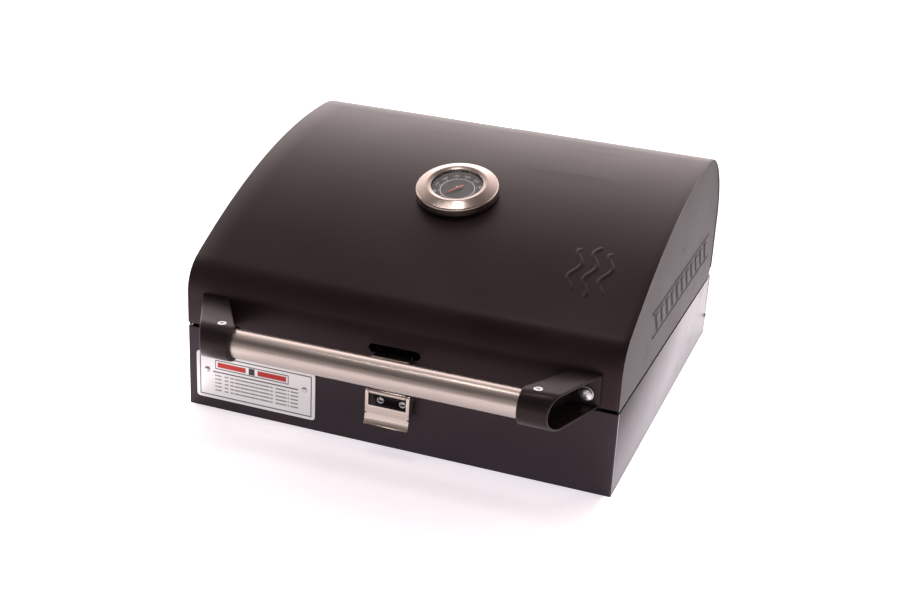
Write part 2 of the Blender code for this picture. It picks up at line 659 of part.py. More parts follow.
def latch_lever(pivot):
    """Lever: two cheeks on the pins, a windowed face and an outward finger lip."""
    pin_y, pin_z = LEVER_PIN
    face_y, back_y = FRONT_Y - LEVER_FACE_OUT, FRONT_Y - LEVER_FACE_OUT + LATCH_SHEET
    foot_z = pin_z - LEVER_FACE_DROP
    cheek = [(face_y, foot_z), (face_y, CLAW_PIN[1])]
    cheek += arc((CLAW_PIN[0], CLAW_PIN[1]), CLAW_PIN[0] - face_y, pi, pi / 2, 4)[1:]
    cheek += arc(LEVER_PIN, LATCH_EAR_RADIUS - TOUCH, pi / 2, -pi / 6, 6)
    cheek.append((back_y + LEVER_CHEEK_FOOT, foot_z))
    lever = add("latch_lever", prism(cheek, "X", -CHEEK_OUTER, CHEEK_OUTER), STAINLESS, pivot=pivot)
    top_z = pin_z + LATCH_EAR_RADIUS
    cut(lever, block((-CHEEK_INNER, back_y, foot_z - SHEET), (CHEEK_INNER, FRONT_Y, top_z)))
    window = LEVER_WINDOW_WIDTH / 2
    window_foot = pin_z - LEVER_WINDOW_DROP
    cut(lever, block((-window, face_y - SHEET, window_foot), (window, back_y + SHEET, top_z)))
    drop, out = LEVER_LIP_DROP - LEVER_FACE_DROP, LEVER_LIP_OUT
    turns = [pi / 2 * i / LIP_STEPS for i in range(LIP_STEPS + 1)]
    outer = [(face_y - out * (1 - cos(a)), foot_z - drop * sin(a)) for a in turns]
    inner = [(y + LATCH_SHEET, z) for y, z in reversed(outer)]
    grip = [(face_y, foot_z + SHEET)] + outer + inner + [(back_y, foot_z + SHEET)]
    join(lever, prism(grip, "X", -CHEEK_OUTER, CHEEK_OUTER))
    for side in (-1, 1):
        low, high = sorted((side * (CHEEK_OUTER - LEVER_NOTCH), side * (CHEEK_OUTER + SHEET)))
        notch_low, notch_high = foot_z - LEVER_NOTCH / 2, foot_z + LEVER_NOTCH / 2
        cut(lever, block((low, face_y - SHEET, notch_low), (high, FRONT_Y, notch_high)))
    for y, z in (LEVER_PIN, CLAW_PIN):
        cut(lever, hole_tool(LATCH_PIN_RADIUS + PIN_CLEARANCE, 2 * CHEEK_OUTER, at(0, y, z, FACING_RIGHT)))
    lever_pin = rod(LATCH_PIN_RADIUS, -CHEEK_OUTER - TOUCH, CHEEK_OUTER + TOUCH)
    add("latch_lever_pin", lever_pin, STAINLESS, at(0, pin_y, pin_z, FACING_RIGHT), pivot)


def latch_claw(pivot):
    """Claw: a plate curled round its pin, whose top bends in towards the lid's slot."""
    pin_y, pin_z = CLAW_PIN
    half = CLAW_WIDTH / 2
    tip_z = SLOT_Z - SLOT_HEIGHT / 2 + CLAW_TIP_HEIGHT
    back_y = pin_y + CLAW_BARREL_RADIUS
    tip_y = FRONT_Y - CLAW_TIP_GAP
    outline = arc(CLAW_PIN, CLAW_BARREL_RADIUS, 0, -3 * pi / 2, 12)
    outline += [(back_y - LATCH_SHEET, pin_z + CLAW_BARREL_RADIUS), (back_y - LATCH_SHEET, tip_z),
                (tip_y, tip_z), (tip_y, tip_z - LATCH_SHEET), (back_y, tip_z - LATCH_SHEET)]
    claw = add("latch_claw", prism(outline, "X", -half, half), STAINLESS, pivot=pivot)
    cut(claw, hole_tool(LATCH_PIN_RADIUS + PIN_CLEARANCE, CLAW_WIDTH, at(0, pin_y, pin_z, FACING_RIGHT)))
    claw_pin = rod(LATCH_PIN_RADIUS, -CHEEK_OUTER - TOUCH, CHEEK_OUTER + TOUCH)
    add("latch_claw_pin", claw_pin, STAINLESS, at(0, pin_y, pin_z, FACING_RIGHT), pivot)


# Hinges

def hinge_leaf(name, centre_x, upward, pivot=None):
    """A leaf with its knuckles: two outer ones on the base leaf, the middle one on the lid leaf."""
    near, far = REAR_Y + TOUCH, REAR_Y + TOUCH + HINGE_THICKNESS
    half = HINGE_WIDTH / 2
    edge = HINGE_Z + upward * HINGE_LEAF_CLEARANCE
    tail = edge + upward * HINGE_LEAF
    third = HINGE_WIDTH / 3
    if upward > 0:
        spans = [(centre_x - third / 2, centre_x + third / 2)]
    else:
        inner_end = third / 2 + KNUCKLE_GAP
        spans = [(centre_x - half, centre_x - inner_end), (centre_x + inner_end, centre_x + half)]
    outline = [(centre_x - half, tail), (centre_x - half, edge)]
    for low, high in spans:
        low, high = low + KNUCKLE_GAP, high - KNUCKLE_GAP
        outline += [(low, edge), (low, HINGE_Z), (high, HINGE_Z), (high, edge)]
    outline += [(centre_x + half, edge), (centre_x + half, tail)]
    leaf = add(name, prism(outline, "Y", near, far), ZINC, pivot=pivot)
    for low, high in spans:
        join(leaf, moved(rod(KNUCKLE_RADIUS, low, high), at(0, HINGE_Y, HINGE_Z, FACING_RIGHT)))
    bore = at(centre_x, HINGE_Y, HINGE_Z, FACING_RIGHT)
    cut(leaf, hole_tool(HINGE_PIN_RADIUS + PIN_CLEARANCE, HINGE_WIDTH, bore))


def build_hinges(lid_axis):
    for side, sign in (("left", -1), ("right", 1)):
        centre_x = sign * (SIDE_X - HINGE_SIDE_INSET)
        hinge_leaf("base_hinge_leaf_" + side, centre_x, -1)
        hinge_leaf("lid_hinge_leaf_" + side, centre_x, 1, lid_axis)
        half = HINGE_WIDTH / 2 + TOUCH
        place = at(centre_x, HINGE_Y, HINGE_Z, FACING_RIGHT)
        add("hinge_pin_" + side, rod(HINGE_PIN_RADIUS, -half, half), ZINC, place)


# Lid

def lid_skin(pivot):
    """The bent sheet from the front edge over the top to the rear edge."""
    outer = lid_path(0, LID_FRONT_Z, LID_REAR_Z)
    inner = lid_path(SHEET, LID_FRONT_Z, LID_REAR_Z)
    skin = add("lid_skin", prism(outer + inner[::-1], "X", -SIDE_X, SIDE_X), BLACK_PAINT, pivot=pivot)
    cut(skin, prism(obround((0, SLOT_Z), SLOT_WIDTH, SLOT_HEIGHT), "Y", FRONT_Y - SHEET, FRONT_Y + 2 * SHEET))
    return skin


def lid_end(name, side, pivot):
    """End plate inside the skin, with a rim that follows the base and a chamfered rear corner."""
    inset = SHEET + TOUCH
    rear_y = REAR_Y - inset
    chamfer_y = rear_y - LID_END_CHAMFER
    front_z = seam_z(FRONT_Y + inset) + SEAM_GAP
    outline = lid_path(inset, front_z, LID_REAR_Z)
    outline.append((chamfer_y, seam_z(chamfer_y) + SEAM_GAP))
    outer = side * (SIDE_X - LID_END_RECESS)
    return add(name, prism(outline, "X", outer, outer - side * SHEET), BLACK_PAINT, pivot=pivot)


# Handle

def skew(bm, side):
    """Lean a bracket's foot outwards: its inner side bends at the tube's axis, its open side is one plane."""
    everything = bm.verts[:] + bm.edges[:] + bm.faces[:]
    bmesh.ops.bisect_plane(bm, geom=everything, plane_co=(0, HANDLE_Y, 0), plane_no=(0, 1, 0))
    for vert in bm.verts:
        outward = (side * vert.co.x - NOSE_X) / BRACKET_WIDTH + 0.5
        inner = max(vert.co.y - HANDLE_Y, 0) / HANDLE_STANDOFF
        outer = (vert.co.y - HANDLE_Y + NOSE_RADIUS) / (HANDLE_STANDOFF + NOSE_RADIUS)
        vert.co.x += side * BRACKET_SKEW * (inner + (outer - inner) * outward)
    return bm


def handle_bracket(name, side, pivot):
    """A cast cup: a round nose on the tube, a flat foot on the lid, open on its outer side."""
    foot_y = FRONT_Y - TOUCH
    inner_x, outer_x = side * (NOSE_X - BRACKET_WIDTH / 2), side * (NOSE_X + BRACKET_WIDTH / 2)
    outline = [(foot_y, LID_FRONT_Z + BRACKET_FOOT_LOW), (foot_y, LID_FRONT_Z + BRACKET_FOOT_HIGH)]
    outline += arc((HANDLE_Y, HANDLE_Z), NOSE_RADIUS, pi / 2, 3 * pi / 2, SMALL_ROUND)
    bm = prism(outline, "X", inner_x, outer_x)
    cap = facing(bm, (side, 0, 0))
    bmesh.ops.inset_region(bm, faces=cap, thickness=BRACKET_WALL, use_even_offset=True)
    pull(bm, cap, (-side * (BRACKET_WIDTH - BRACKET_WEB), 0, 0))
    bracket = add(name, skew(bm, side), CAST_BLACK, pivot=pivot)
    boss_end = inner_x + side * (SOCKET_DEPTH + SOCKET_END_WALL)
    low, high = sorted((inner_x + side * BRACKET_WEB / 2, boss_end))
    bore_radius = TUBE_RADIUS + TOUCH
    axis = at(0, HANDLE_Y, HANDLE_Z, FACING_RIGHT)
    join(bracket, moved(rod(bore_radius + SOCKET_WALL, low, high, ROUND), axis))
    low, high = sorted((inner_x - side * SHEET, inner_x + side * SOCKET_DEPTH))
    cut(bracket, moved(rod(bore_radius, low, high, ROUND), axis))
    return bracket


def handle_fasteners(side_name, side, bracket, skin, tube, pivot):
    """The screw, washer and nut at the foot, and the small screw that pins the tube in the nose."""
    x, z = side * FOOT_X, HANDLE_Z
    wall = FRONT_Y - TOUCH - BRACKET_WALL
    washer_face = wall - TOUCH - WASHER_THICKNESS
    hole_radius = BRACKET_SCREW_RADIUS + SCREW_CLEARANCE
    washer = ring(hole_radius, WASHER_RADIUS, TOUCH, TOUCH + WASHER_THICKNESS)
    add("bracket_washer_" + side_name, washer, ZINC, at(x, wall, z, FACING_FRONT), pivot)
    head = at(x, washer_face - TOUCH, z, FACING_FRONT)
    pan_screw("bracket_screw_" + side_name, head, BRACKET_SCREW_HEAD, BRACKET_SCREW_DOME,
              BRACKET_SCREW_RADIUS, washer_depth() + BRACKET_SCREW_TAIL, pivot)
    hex_nut("bracket_nut_" + side_name, NUT_RADIUS, hole_radius,
            at(x, FRONT_Y + SHEET + TOUCH + NUT_THICKNESS, z, FACING_FRONT), pivot)
    for wall_piece in (bracket, skin):
        cut(wall_piece, hole_tool(hole_radius, 2 * BRACKET_SCREW_TAIL, head))
    top = at(side * NOSE_X, HANDLE_Y, HANDLE_Z + NOSE_RADIUS)
    countersunk("handle_screw_" + side_name, top, pivot)
    cut(bracket, moved(countersink(SCREW_CLEARANCE), top))
    cut(tube, hole_tool(NOSE_SCREW_RADIUS + SCREW_CLEARANCE, NOSE_SCREW_LENGTH, top))


def hex_nut(name, corner_radius, bore, place, pivot):
    """A six-sided nut that stands on its object's XY plane."""
    corners = arc((0, 0), corner_radius, 0, 5 * pi / 3, 5)
    made = add(name, prism(corners, "Z", 0, NUT_THICKNESS), ZINC, place, pivot)
    cut(made, hole_tool(bore, 2 * NUT_THICKNESS, place))
    return made


def washer_depth():
    """From the screw head's seat to the lid's face."""
    return TOUCH + WASHER_THICKNESS + TOUCH + BRACKET_WALL + TOUCH


def countersunk(name, place, pivot):
    shank, head = NOSE_SCREW_RADIUS, NOSE_SCREW_HEAD
    profile = [(0, -NOSE_SCREW_LENGTH), (shank, -NOSE_SCREW_LENGTH), (shank, -NOSE_SCREW_CONE),
               (head, -TOUCH), (head, 0), (0, 0)]
    return add(name, turned(profile, SMALL_ROUND), ZINC, place, pivot)


def countersink(clearance):
    """The nose's hole for the small screw, larger than it all round and open at the top."""
    radius, head = NOSE_SCREW_RADIUS + clearance, NOSE_SCREW_HEAD + clearance
    foot, cone = -NOSE_SCREW_LENGTH, -NOSE_SCREW_CONE - clearance
    profile = [(0, foot), (radius, foot), (radius, cone), (head, -TOUCH - clearance), (head, SHEET), (0, SHEET)]
    return turned(profile, SMALL_ROUND)


def build_handle(skin, pivot):
    end = NOSE_X - BRACKET_WIDTH / 2 + SOCKET_DEPTH - TOUCH
    tube = add("handle_tube", ring(TUBE_RADIUS - TUBE_WALL, TUBE_RADIUS, -end, end), STAINLESS,
               at(0, HANDLE_Y, HANDLE_Z, FACING_RIGHT), pivot)
    for side_name, side in (("left", -1), ("right", 1)):
        bracket = handle_bracket("handle_bracket_" + side_name, side, pivot)
        handle_fasteners(side_name, side, bracket, skin, tube, pivot)


# Thermometer

def thermo_place():
    """The thermometer's frame: on the lid's surface, +Z along the surface's normal."""
    low, high = 0.0, 1.0
    for _ in range(40):
        middle = (low + high) / 2
        if roof_point(middle)[0][0] < FRONT_Y + THERMO_SETBACK:
            low = middle
        else:
            high = middle
    (y, z), slope = roof_point(low)
    return at(0, y, z, Matrix.Rotation(slope, 4, "X"))


def coil_outline():
    """A helix of square wire about the spindle, built as one swept tube."""
    bm = bmesh.new()
    steps = COIL_TURNS * COIL_STEPS
    half = COIL_WIRE / 2
    section = ((-half, -half), (half, -half), (half, half), (-half, half))
    rings = []
    for i in range(steps + 1):
        angle = 2 * pi * COIL_TURNS * i / steps
        height = -COIL_DEPTH - COIL_PITCH * COIL_TURNS * i / steps
        corners = [(COIL_RADIUS + out, height + up) for out, up in section]
        rings.append([bm.verts.new((r * cos(angle), r * sin(angle), h)) for r, h in corners])
    for first, second in zip(rings, rings[1:]):
        for i in range(4):
            j = (i + 1) % 4
            bm.faces.new((first[i], first[j], second[j], second[i]))
    bm.faces.new(rings[0])
    bm.faces.new(rings[-1][::-1])
    return bm


def build_thermometer(skin, lid_axis):
    place = thermo_place()
    case_floor = TOUCH + GASKET_THICKNESS + TOUCH
    dial_low = case_floor + CASE_WALL + DIAL_LIFT
    lip_low = BEZEL_HEIGHT - LIP_THICKNESS
    case_top = lip_low - TOUCH
    lens_high = case_top - TOUCH
    collar_hole = COLLAR_RADIUS + TOUCH

    add("thermometer_gasket", ring(collar_hole, GASKET_RADIUS, TOUCH, TOUCH + GASKET_THICKNESS, ROUND),
        GASKET_BLACK, place, lid_axis)
    bezel = [(CASE_RADIUS + TOUCH, case_floor), (BEZEL_RADIUS, case_floor),
             (BEZEL_RADIUS, case_floor + BEZEL_SIDE),
             (BEZEL_LAND_RADIUS, BEZEL_HEIGHT - TOUCH), (CASE_RADIUS + CASE_WALL, BEZEL_HEIGHT),
             (WINDOW_RADIUS, BEZEL_HEIGHT - SHEET), (WINDOW_RADIUS, lip_low), (CASE_RADIUS + TOUCH, lip_low)]
    add("thermometer_bezel", turned(bezel, 2 * ROUND), STAINLESS, place, lid_axis)
    case = [(collar_hole, case_floor), (CASE_RADIUS, case_floor), (CASE_RADIUS, case_top),
            (CASE_RADIUS - CASE_WALL, case_top), (CASE_RADIUS - CASE_WALL, case_floor + CASE_WALL),
            (collar_hole, case_floor + CASE_WALL)]
    add("thermometer_case", turned(case, ROUND), ZINC, place, lid_axis)
    inside = CASE_RADIUS - CASE_WALL - TOUCH
    dial_high = dial_low + DIAL_THICKNESS
    add("thermometer_dial", ring(SPINDLE_RADIUS + TOUCH, inside, dial_low, dial_high), DIAL_GREY,
        place, lid_axis)
    add("thermometer_lens", rod(inside, lens_high - LENS_THICKNESS, lens_high, ROUND), GLASS, place, lid_axis)
    collar_top = case_floor + CASE_WALL
    stem = [(0, STEM_TIP - STEM_LENGTH), (STEM_BORE, STEM_TIP - STEM_LENGTH), (STEM_BORE, collar_top),
            (COLLAR_RADIUS, collar_top), (COLLAR_RADIUS, -COLLAR_LENGTH), (STEM_RADIUS, -COLLAR_LENGTH),
            (STEM_RADIUS, -STEM_LENGTH), (0, -STEM_LENGTH)]
    add("thermometer_stem", turned(stem, SMALL_ROUND), STAINLESS, place, lid_axis)
    under = -SHEET - 2 * TOUCH
    seat = place @ at(0, 0, under - NUT_THICKNESS)
    hex_nut("thermometer_nut", LOCK_NUT_RADIUS, collar_hole, seat, lid_axis)
    add("bimetal_coil", coil_outline(), STAINLESS, place, lid_axis)
    cut(skin, hole_tool(collar_hole, COLLAR_LENGTH, place))

    pointer_axis = joint_empty("pointer_axis", place.translation)
    needle_low = dial_high + POINTER_LIFT
    needle_high = needle_low + POINTER_THICKNESS
    belly = POINTER_HALF_WIDTH + POINTER_BELLY
    needle = [(POINTER_LENGTH, 0), (0, belly), (-POINTER_TAIL, POINTER_HALF_WIDTH),
              (-POINTER_TAIL, -POINTER_HALF_WIDTH), (0, -belly)]
    turn = place @ Matrix.Rotation(POINTER_ANGLE, 4, "Z")
    pointer = add("pointer", prism(needle, "Z", needle_low, needle_high), POINTER_RED, turn, pointer_axis)
    cut(pointer, hole_tool(SPINDLE_RADIUS + TOUCH, BEZEL_HEIGHT, place))
    hub_low = needle_high + TOUCH
    foot = 2 * STEM_TIP - STEM_LENGTH
    spindle = [(0, foot), (SPINDLE_RADIUS, foot), (SPINDLE_RADIUS, hub_low),
               (HUB_RADIUS, hub_low), (HUB_RADIUS, hub_low + HUB_HEIGHT), (0, hub_low + HUB_HEIGHT)]
    add("pointer_spindle", turned(spindle, SMALL_ROUND), STAINLESS, place, pointer_axis)


# Assembly

lid_axis = joint_empty("lid_axis", (0, HINGE_Y, HINGE_Z))
lever_axis = joint_empty("latch_lever_axis", (0, *LEVER_PIN))
claw_axis = joint_empty("latch_claw_axis", (0, *CLAW_PIN))

front_panel = build_base()
build_plate(front_panel)
latch_plate(front_panel)
latch_lever(lever_axis)
latch_claw(claw_axis)
build_hinges(lid_axis)
lid = lid_skin(lid_axis)
lid_end("lid_end_left", -1, lid_axis)
lid_end("lid_end_right", 1, lid_axis)
build_handle(lid, lid_axis)
build_thermometer(lid, lid_axis)
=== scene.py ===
import json
from math import asin, atan2, cos, hypot, pi, radians, sin

import bmesh
import bpy
from mathutils import Matrix, Vector

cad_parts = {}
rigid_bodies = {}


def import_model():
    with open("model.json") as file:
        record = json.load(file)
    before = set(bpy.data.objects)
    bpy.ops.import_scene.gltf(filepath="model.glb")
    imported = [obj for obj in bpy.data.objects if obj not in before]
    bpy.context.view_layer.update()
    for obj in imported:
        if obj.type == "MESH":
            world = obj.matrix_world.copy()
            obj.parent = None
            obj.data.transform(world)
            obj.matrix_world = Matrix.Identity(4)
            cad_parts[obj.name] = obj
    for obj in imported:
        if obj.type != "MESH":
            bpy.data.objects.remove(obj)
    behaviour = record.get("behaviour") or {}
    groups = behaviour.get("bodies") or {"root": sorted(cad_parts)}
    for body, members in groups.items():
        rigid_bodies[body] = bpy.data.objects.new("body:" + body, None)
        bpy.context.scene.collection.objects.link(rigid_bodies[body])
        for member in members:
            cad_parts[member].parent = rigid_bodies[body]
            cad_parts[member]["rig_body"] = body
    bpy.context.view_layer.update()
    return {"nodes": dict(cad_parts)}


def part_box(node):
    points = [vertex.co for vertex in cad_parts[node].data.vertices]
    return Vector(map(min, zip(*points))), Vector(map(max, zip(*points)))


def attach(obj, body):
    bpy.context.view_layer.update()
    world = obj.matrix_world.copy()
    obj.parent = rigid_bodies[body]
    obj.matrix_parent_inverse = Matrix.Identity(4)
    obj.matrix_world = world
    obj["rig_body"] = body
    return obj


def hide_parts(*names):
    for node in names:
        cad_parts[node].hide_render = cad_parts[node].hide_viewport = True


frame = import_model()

mm = 0.001
nodes = frame["nodes"]
weldDistance = 0.002 * mm
touch = 0.3 * mm              # gap that the frame leaves between pieces that rest on each other
sheet = 1.2 * mm              # thickness of the bent steel
scene = bpy.context.scene


def spun(angle, axis="Z"):
    return Matrix.Rotation(angle, 4, axis)


facingFront = spun(pi / 2, "X")     # turns +Z to -Y
facingRight = spun(pi / 2, "Y")     # turns +Z to +X
print("frame:", len(nodes), "nodes")


# shader nodes

class Wire:
    # A shader socket: an operator on it adds the Math node.
    def __init__(self, finish, socket):
        self.finish, self.socket = finish, socket

    def maths(self, operation, *values):
        return self.finish.maths(operation, *values)

    def __add__(self, other):
        return self.maths("ADD", self, other)

    def __sub__(self, other):
        return self.maths("SUBTRACT", self, other)

    def __rsub__(self, other):
        return self.maths("SUBTRACT", other, self)

    def __mul__(self, other):
        return self.maths("MULTIPLY", self, other)

    def __truediv__(self, other):
        return self.maths("DIVIDE", self, other)

    def __pow__(self, other):
        return self.maths("POWER", self, other)

    def __abs__(self):
        return self.maths("ABSOLUTE", self)

    __radd__ = __add__
    __rmul__ = __mul__


class Graph:
    # A node tree: one method adds any node, and a few short ones name the nodes that are used most.
    def __init__(self, tree, coordinates):
        self.tree = tree
        self.place = self.wire("TexCoord", output=coordinates)

    def node(self, kind, settings={}, sockets={}):
        made = self.tree.nodes.new("ShaderNode" + kind)
        for key, value in settings.items():
            if key == "stops":
                ramp = made.color_ramp.elements
                ramp[0].position, ramp[0].color = value[0]
                ramp[-1].position, ramp[-1].color = value[-1]
                for position, colour in value[1:-1]:
                    ramp.new(position).color = colour
            else:
                setattr(made, key, value)
        for key, value in sockets.items():
            self.feed(made.inputs[key], value)
        return made

    def feed(self, socket, value):
        if isinstance(value, Wire):
            self.tree.links.new(value.socket, socket)
        else:
            socket.default_value = value

    def wire(self, kind, settings={}, sockets={}, output=0):
        return Wire(self, self.node(kind, settings, sockets).outputs[output])

    def maths(self, operation, *values):
        return self.wire("Math", {"operation": operation}, dict(enumerate(values)))

    def stretched(self, scale, turn=(0, 0, 0), start=(0, 0, 0)):
        return self.wire("Mapping", {}, {
            "Vector": self.place, "Location": start, "Rotation": turn, "Scale": scale})

    def noise(self, scale, detail=2.0, at=None, roughness=0.5):
        return self.wire("TexNoise", {}, {
            "Vector": at or self.place, "Scale": scale, "Detail": detail, "Roughness": roughness})

    def cells(self, scale):
        return self.wire("TexVoronoi", {}, {"Vector": self.place, "Scale": scale})

    def step(self, value, low, high):
        return self.wire("MapRange", {"interpolation_type": "SMOOTHSTEP"}, {0: value, 1: low, 2: high})

    def mix(self, share, first, second):
        return self.wire("Mix", {"data_type": "RGBA"}, {0: share, 6: first, 7: second}, 2)

    def split(self, place=None):
        parts = self.node("SeparateXYZ", {}, {0: place or self.place})
        return [Wire(self, parts.outputs[i]) for i in range(3)]

    def bump(self, height, distance):
        return self.wire("Bump", {}, {"Height": height, "Distance": distance, "Strength": 1.0})


class Finish(Graph):
    # A material: constants go on its Principled shader, and paint() links what changes over the surface.
    def __init__(self, name, slot, constants):
        self.slot = slot
        self.material = bpy.data.materials.new(name)
        self.material.use_nodes = True
        super().__init__(self.material.node_tree, "Object")
        self.shader = next(n for n in self.tree.nodes if n.type == "BSDF_PRINCIPLED")
        for socket, value in constants.items():
            self.shader.inputs[socket].default_value = value

    def paint(self, **inputs):
        names = {"colour": "Base Color", "rough": "Roughness", "metal": "Metallic", "normal": "Normal",
                 "glow": "Emission Color"}
        for key, value in inputs.items():
            self.feed(self.shader.inputs[names[key]], value)
        return self


# finishes

def dimmed(colour, share):
    return [c * share for c in colour[:3]] + [1]


lidCoat = {
    "dark": (0.0115, 0.0062, 0.0066, 1), "worn": (0.017, 0.0102, 0.0108, 1), "dust": (0.10, 0.085, 0.085, 1),
    "tint": (1.0, 0.70, 0.72, 1), "ior": 1.32, "roughness": 0.38, "peel": 0.010 * mm,
}
endCoat = dict(lidCoat, ior=1.22, roughness=0.46, tint=(1.0, 0.72, 0.76, 1))
baseCoat = dict(lidCoat, dark=(0.0115, 0.0078, 0.0095, 1), worn=(0.018, 0.0128, 0.0150, 1), ior=1.38,
                dust=(0.10, 0.085, 0.095, 1), tint=(1.0, 0.80, 0.92, 1), roughness=0.30)
castCoat = dict(lidCoat, dark=(0.0105, 0.0072, 0.0072, 1), worn=(0.017, 0.0125, 0.0125, 1), ior=1.33,
                dust=(0.10, 0.09, 0.09, 1), tint=(1.0, 0.74, 0.74, 1), roughness=0.30, peel=0.03 * mm)


def blackPaintFinish(name, slot, style, peelScale):
    # Baked powder coat: slow drift of colour and gloss, orange peel, a few specks of dust, faint rub marks.
    finish = Finish(name, slot, {"IOR": style["ior"], "Specular Tint": style["tint"]})
    drift = finish.noise(11, 3)
    peel = finish.noise(peelScale, 2)
    speck = finish.step(finish.cells(260), 0.045, 0.02) * finish.step(finish.noise(31, 2), 0.5, 0.66)
    rubs = finish.noise(7, 6, finish.stretched((1, 6, 6), (0.3, 0.2, 0.5)), 0.62)
    rubbed = finish.step(rubs, 0.56, 0.75)
    body = finish.mix(finish.step(drift, 0.3, 0.72), style["dark"], style["worn"])
    return finish.paint(
        colour=finish.mix(speck * 0.7, body, style["dust"]),
        rough=style["roughness"] + (drift - 0.5) * 0.10 + rubbed * 0.05 + speck * 0.2,
        normal=finish.bump(peel + drift * 0.4, style["peel"]))


lidPaint = blackPaintFinish("lidPaint", "black_paint", lidCoat, 900)
endPaint = blackPaintFinish("endPaint", "black_paint", endCoat, 900)
basePaint = blackPaintFinish("basePaint", "black_paint", baseCoat, 900)
blackCasting = blackPaintFinish("blackCasting", "bracket_black", castCoat, 1500)
stainless = "brushed_stainless"


def brushedFinish(name, colour, roughness, grainAlong, streak):
    # Stainless sheet or tube: fine grain along one direction, with a slow smear of handling marks.
    finish = Finish(name, stainless, {"Metallic": 1.0})
    grain = finish.noise(1, 3, finish.stretched(grainAlong), 0.6)
    coarse = finish.noise(1, 2, finish.stretched([value * 0.22 for value in grainAlong]))
    smear = finish.noise(24, 4)
    tone = finish.mix(finish.step(grain * 0.6 + coarse * 0.4, 0.3, 0.72), dimmed(colour, 0.80), colour)
    return finish.paint(
        colour=finish.mix(finish.step(smear, 0.5, 0.8) * 0.25, tone, dimmed(colour, 0.86)),
        rough=roughness + (grain - 0.5) * 0.16 + (smear - 0.5) * 0.10,
        normal=finish.bump(grain + coarse, streak))


tubeSteel = brushedFinish("tubeSteel", (0.58, 0.50, 0.46, 1), 0.31, (14, 1500, 1500), 0.006 * mm)
latchSteel = brushedFinish("latchSteel", (0.64, 0.555, 0.50, 1), 0.24, (24, 24, 1400), 0.003 * mm)


def ringedFinish(name, colour, roughness, place, pitch, depth):
    # Lathe-turned metal: fine rings round the piece's own axis, with painted shade on two opposite sides.
    finish = Finish(name, stainless, {"Metallic": 1.0})
    x, y, z = finish.split(finish.wire("Mapping", {"vector_type": "TEXTURE"}, {
        "Vector": finish.place, "Location": place.translation, "Rotation": place.to_euler()}))
    radius = (x * x + y * y) ** 0.5
    ring = finish.wire("TexNoise", {"noise_dimensions": "1D"}, {
        "W": (radius + z * 1.7) / pitch, "Detail": 3.0})
    smear = finish.noise(60, 3)
    across = finish.maths("COSINE", finish.maths("ARCTAN2", y, x) * 2 - radians(195))
    paintedSideShade = finish.step(across, 0.45, -0.75)       # painted shade: two opposite sides, at a fixed turn round the axis, are darkened in the colour and made rougher, standing in for how the turned metal's reflections fall
    tone = finish.mix(finish.step(ring, 0.35, 0.7), dimmed(colour, 0.82), colour)
    return finish.paint(
        # the colour mixes the rings' tone with the painted shade of the two dark sides
        colour=finish.mix(paintedSideShade * 0.6, tone, dimmed(colour, 0.42)),
        rough=roughness + (ring - 0.5) * 0.12 + (smear - 0.5) * 0.08 + paintedSideShade * 0.06,
        normal=finish.bump(ring, depth))


def platedFinish():
    # Zinc plate: pale, slightly blue, with fine spangle and dull patches scattered by noise.
    finish = Finish("zincPlate", "zinc_plate", {"Metallic": 1.0})
    spangle = finish.cells(700)
    dull = finish.noise(300, 3)
    return finish.paint(
        colour=finish.mix(finish.step(dull, 0.4, 0.7), (0.60, 0.59, 0.59, 1), (0.50, 0.49, 0.49, 1)),
        rough=0.27 + spangle * 0.08 + (dull - 0.5) * 0.12,
        normal=finish.bump(spangle, 0.001 * mm))


def castIronFinish():
    # Seasoned cast iron: sand-cast pits, oily patches that are glossier, a brown cast where it dries.
    finish = Finish("castIron", "cast_iron", {"Specular IOR Level": 0.5})
    pits = finish.noise(1100, 4, roughness=0.7)
    patch = finish.noise(38, 3)
    oiled = finish.step(patch, 0.45, 0.62)
    return finish.paint(
        colour=finish.mix(oiled, (0.036, 0.030, 0.027, 1), (0.014, 0.013, 0.013, 1)),
        rough=0.66 - oiled * 0.24 + (pits - 0.5) * 0.2,
        metal=0.25 + oiled * 0.15,
        normal=finish.bump(pits, 0.12 * mm))


def hotSteelFinish():
    # Bare rolled steel that has been over a flame: rolling streaks with straw and blue heat tint.
    finish = Finish("hotSteel", "raw_steel", {"Metallic": 0.9})
    streak = finish.noise(1, 4, finish.stretched((900, 18, 900)), 0.65)
    heat = finish.noise(14, 3)
    tint = finish.wire("ValToRGB", {"stops": [
        (0.30, (0.30, 0.29, 0.28, 1)), (0.48, (0.34, 0.27, 0.18, 1)), (0.60, (0.22, 0.14, 0.15, 1)),
        (0.72, (0.13, 0.15, 0.23, 1))]}, {0: heat})
    return finish.paint(
        colour=finish.mix(finish.step(streak, 0.3, 0.7) * 0.4, tint, (0.10, 0.09, 0.085, 1)),
        rough=0.36 + (streak - 0.5) * 0.25 + heat * 0.12,
        normal=finish.bump(streak, 0.01 * mm))


def speckledFinish(name, slot, first, second, roughness, specular=0.4, scale=1400, fades=(0.35, 0.75),
                   depth=0.004):
    # Rubber, ink: a fine grain drifts between two near colours.
    finish = Finish(name, slot, {"Specular IOR Level": specular})
    grain = finish.noise(scale, 3)
    return finish.paint(
        colour=finish.mix(finish.step(grain, *fades), first, second),
        rough=roughness + (grain - 0.5) * 0.2, normal=finish.bump(grain, depth * mm))


zincPlate = platedFinish()
castIron = castIronFinish()
hotSteel = hotSteelFinish()
gasketRubber = speckledFinish("gasketRubber", "gasket", (0.010, 0.010, 0.010, 1), (0.024, 0.023, 0.022, 1),
                              0.72, 0.3, 1600, (0.4, 0.8), 0.05)
print("finishes ready")


# shaping

def vertsIn(items):
    return [item for item in items if isinstance(item, bmesh.types.BMVert)]


def inMm(points):
    return [(a * mm, b * mm) for a, b in points]


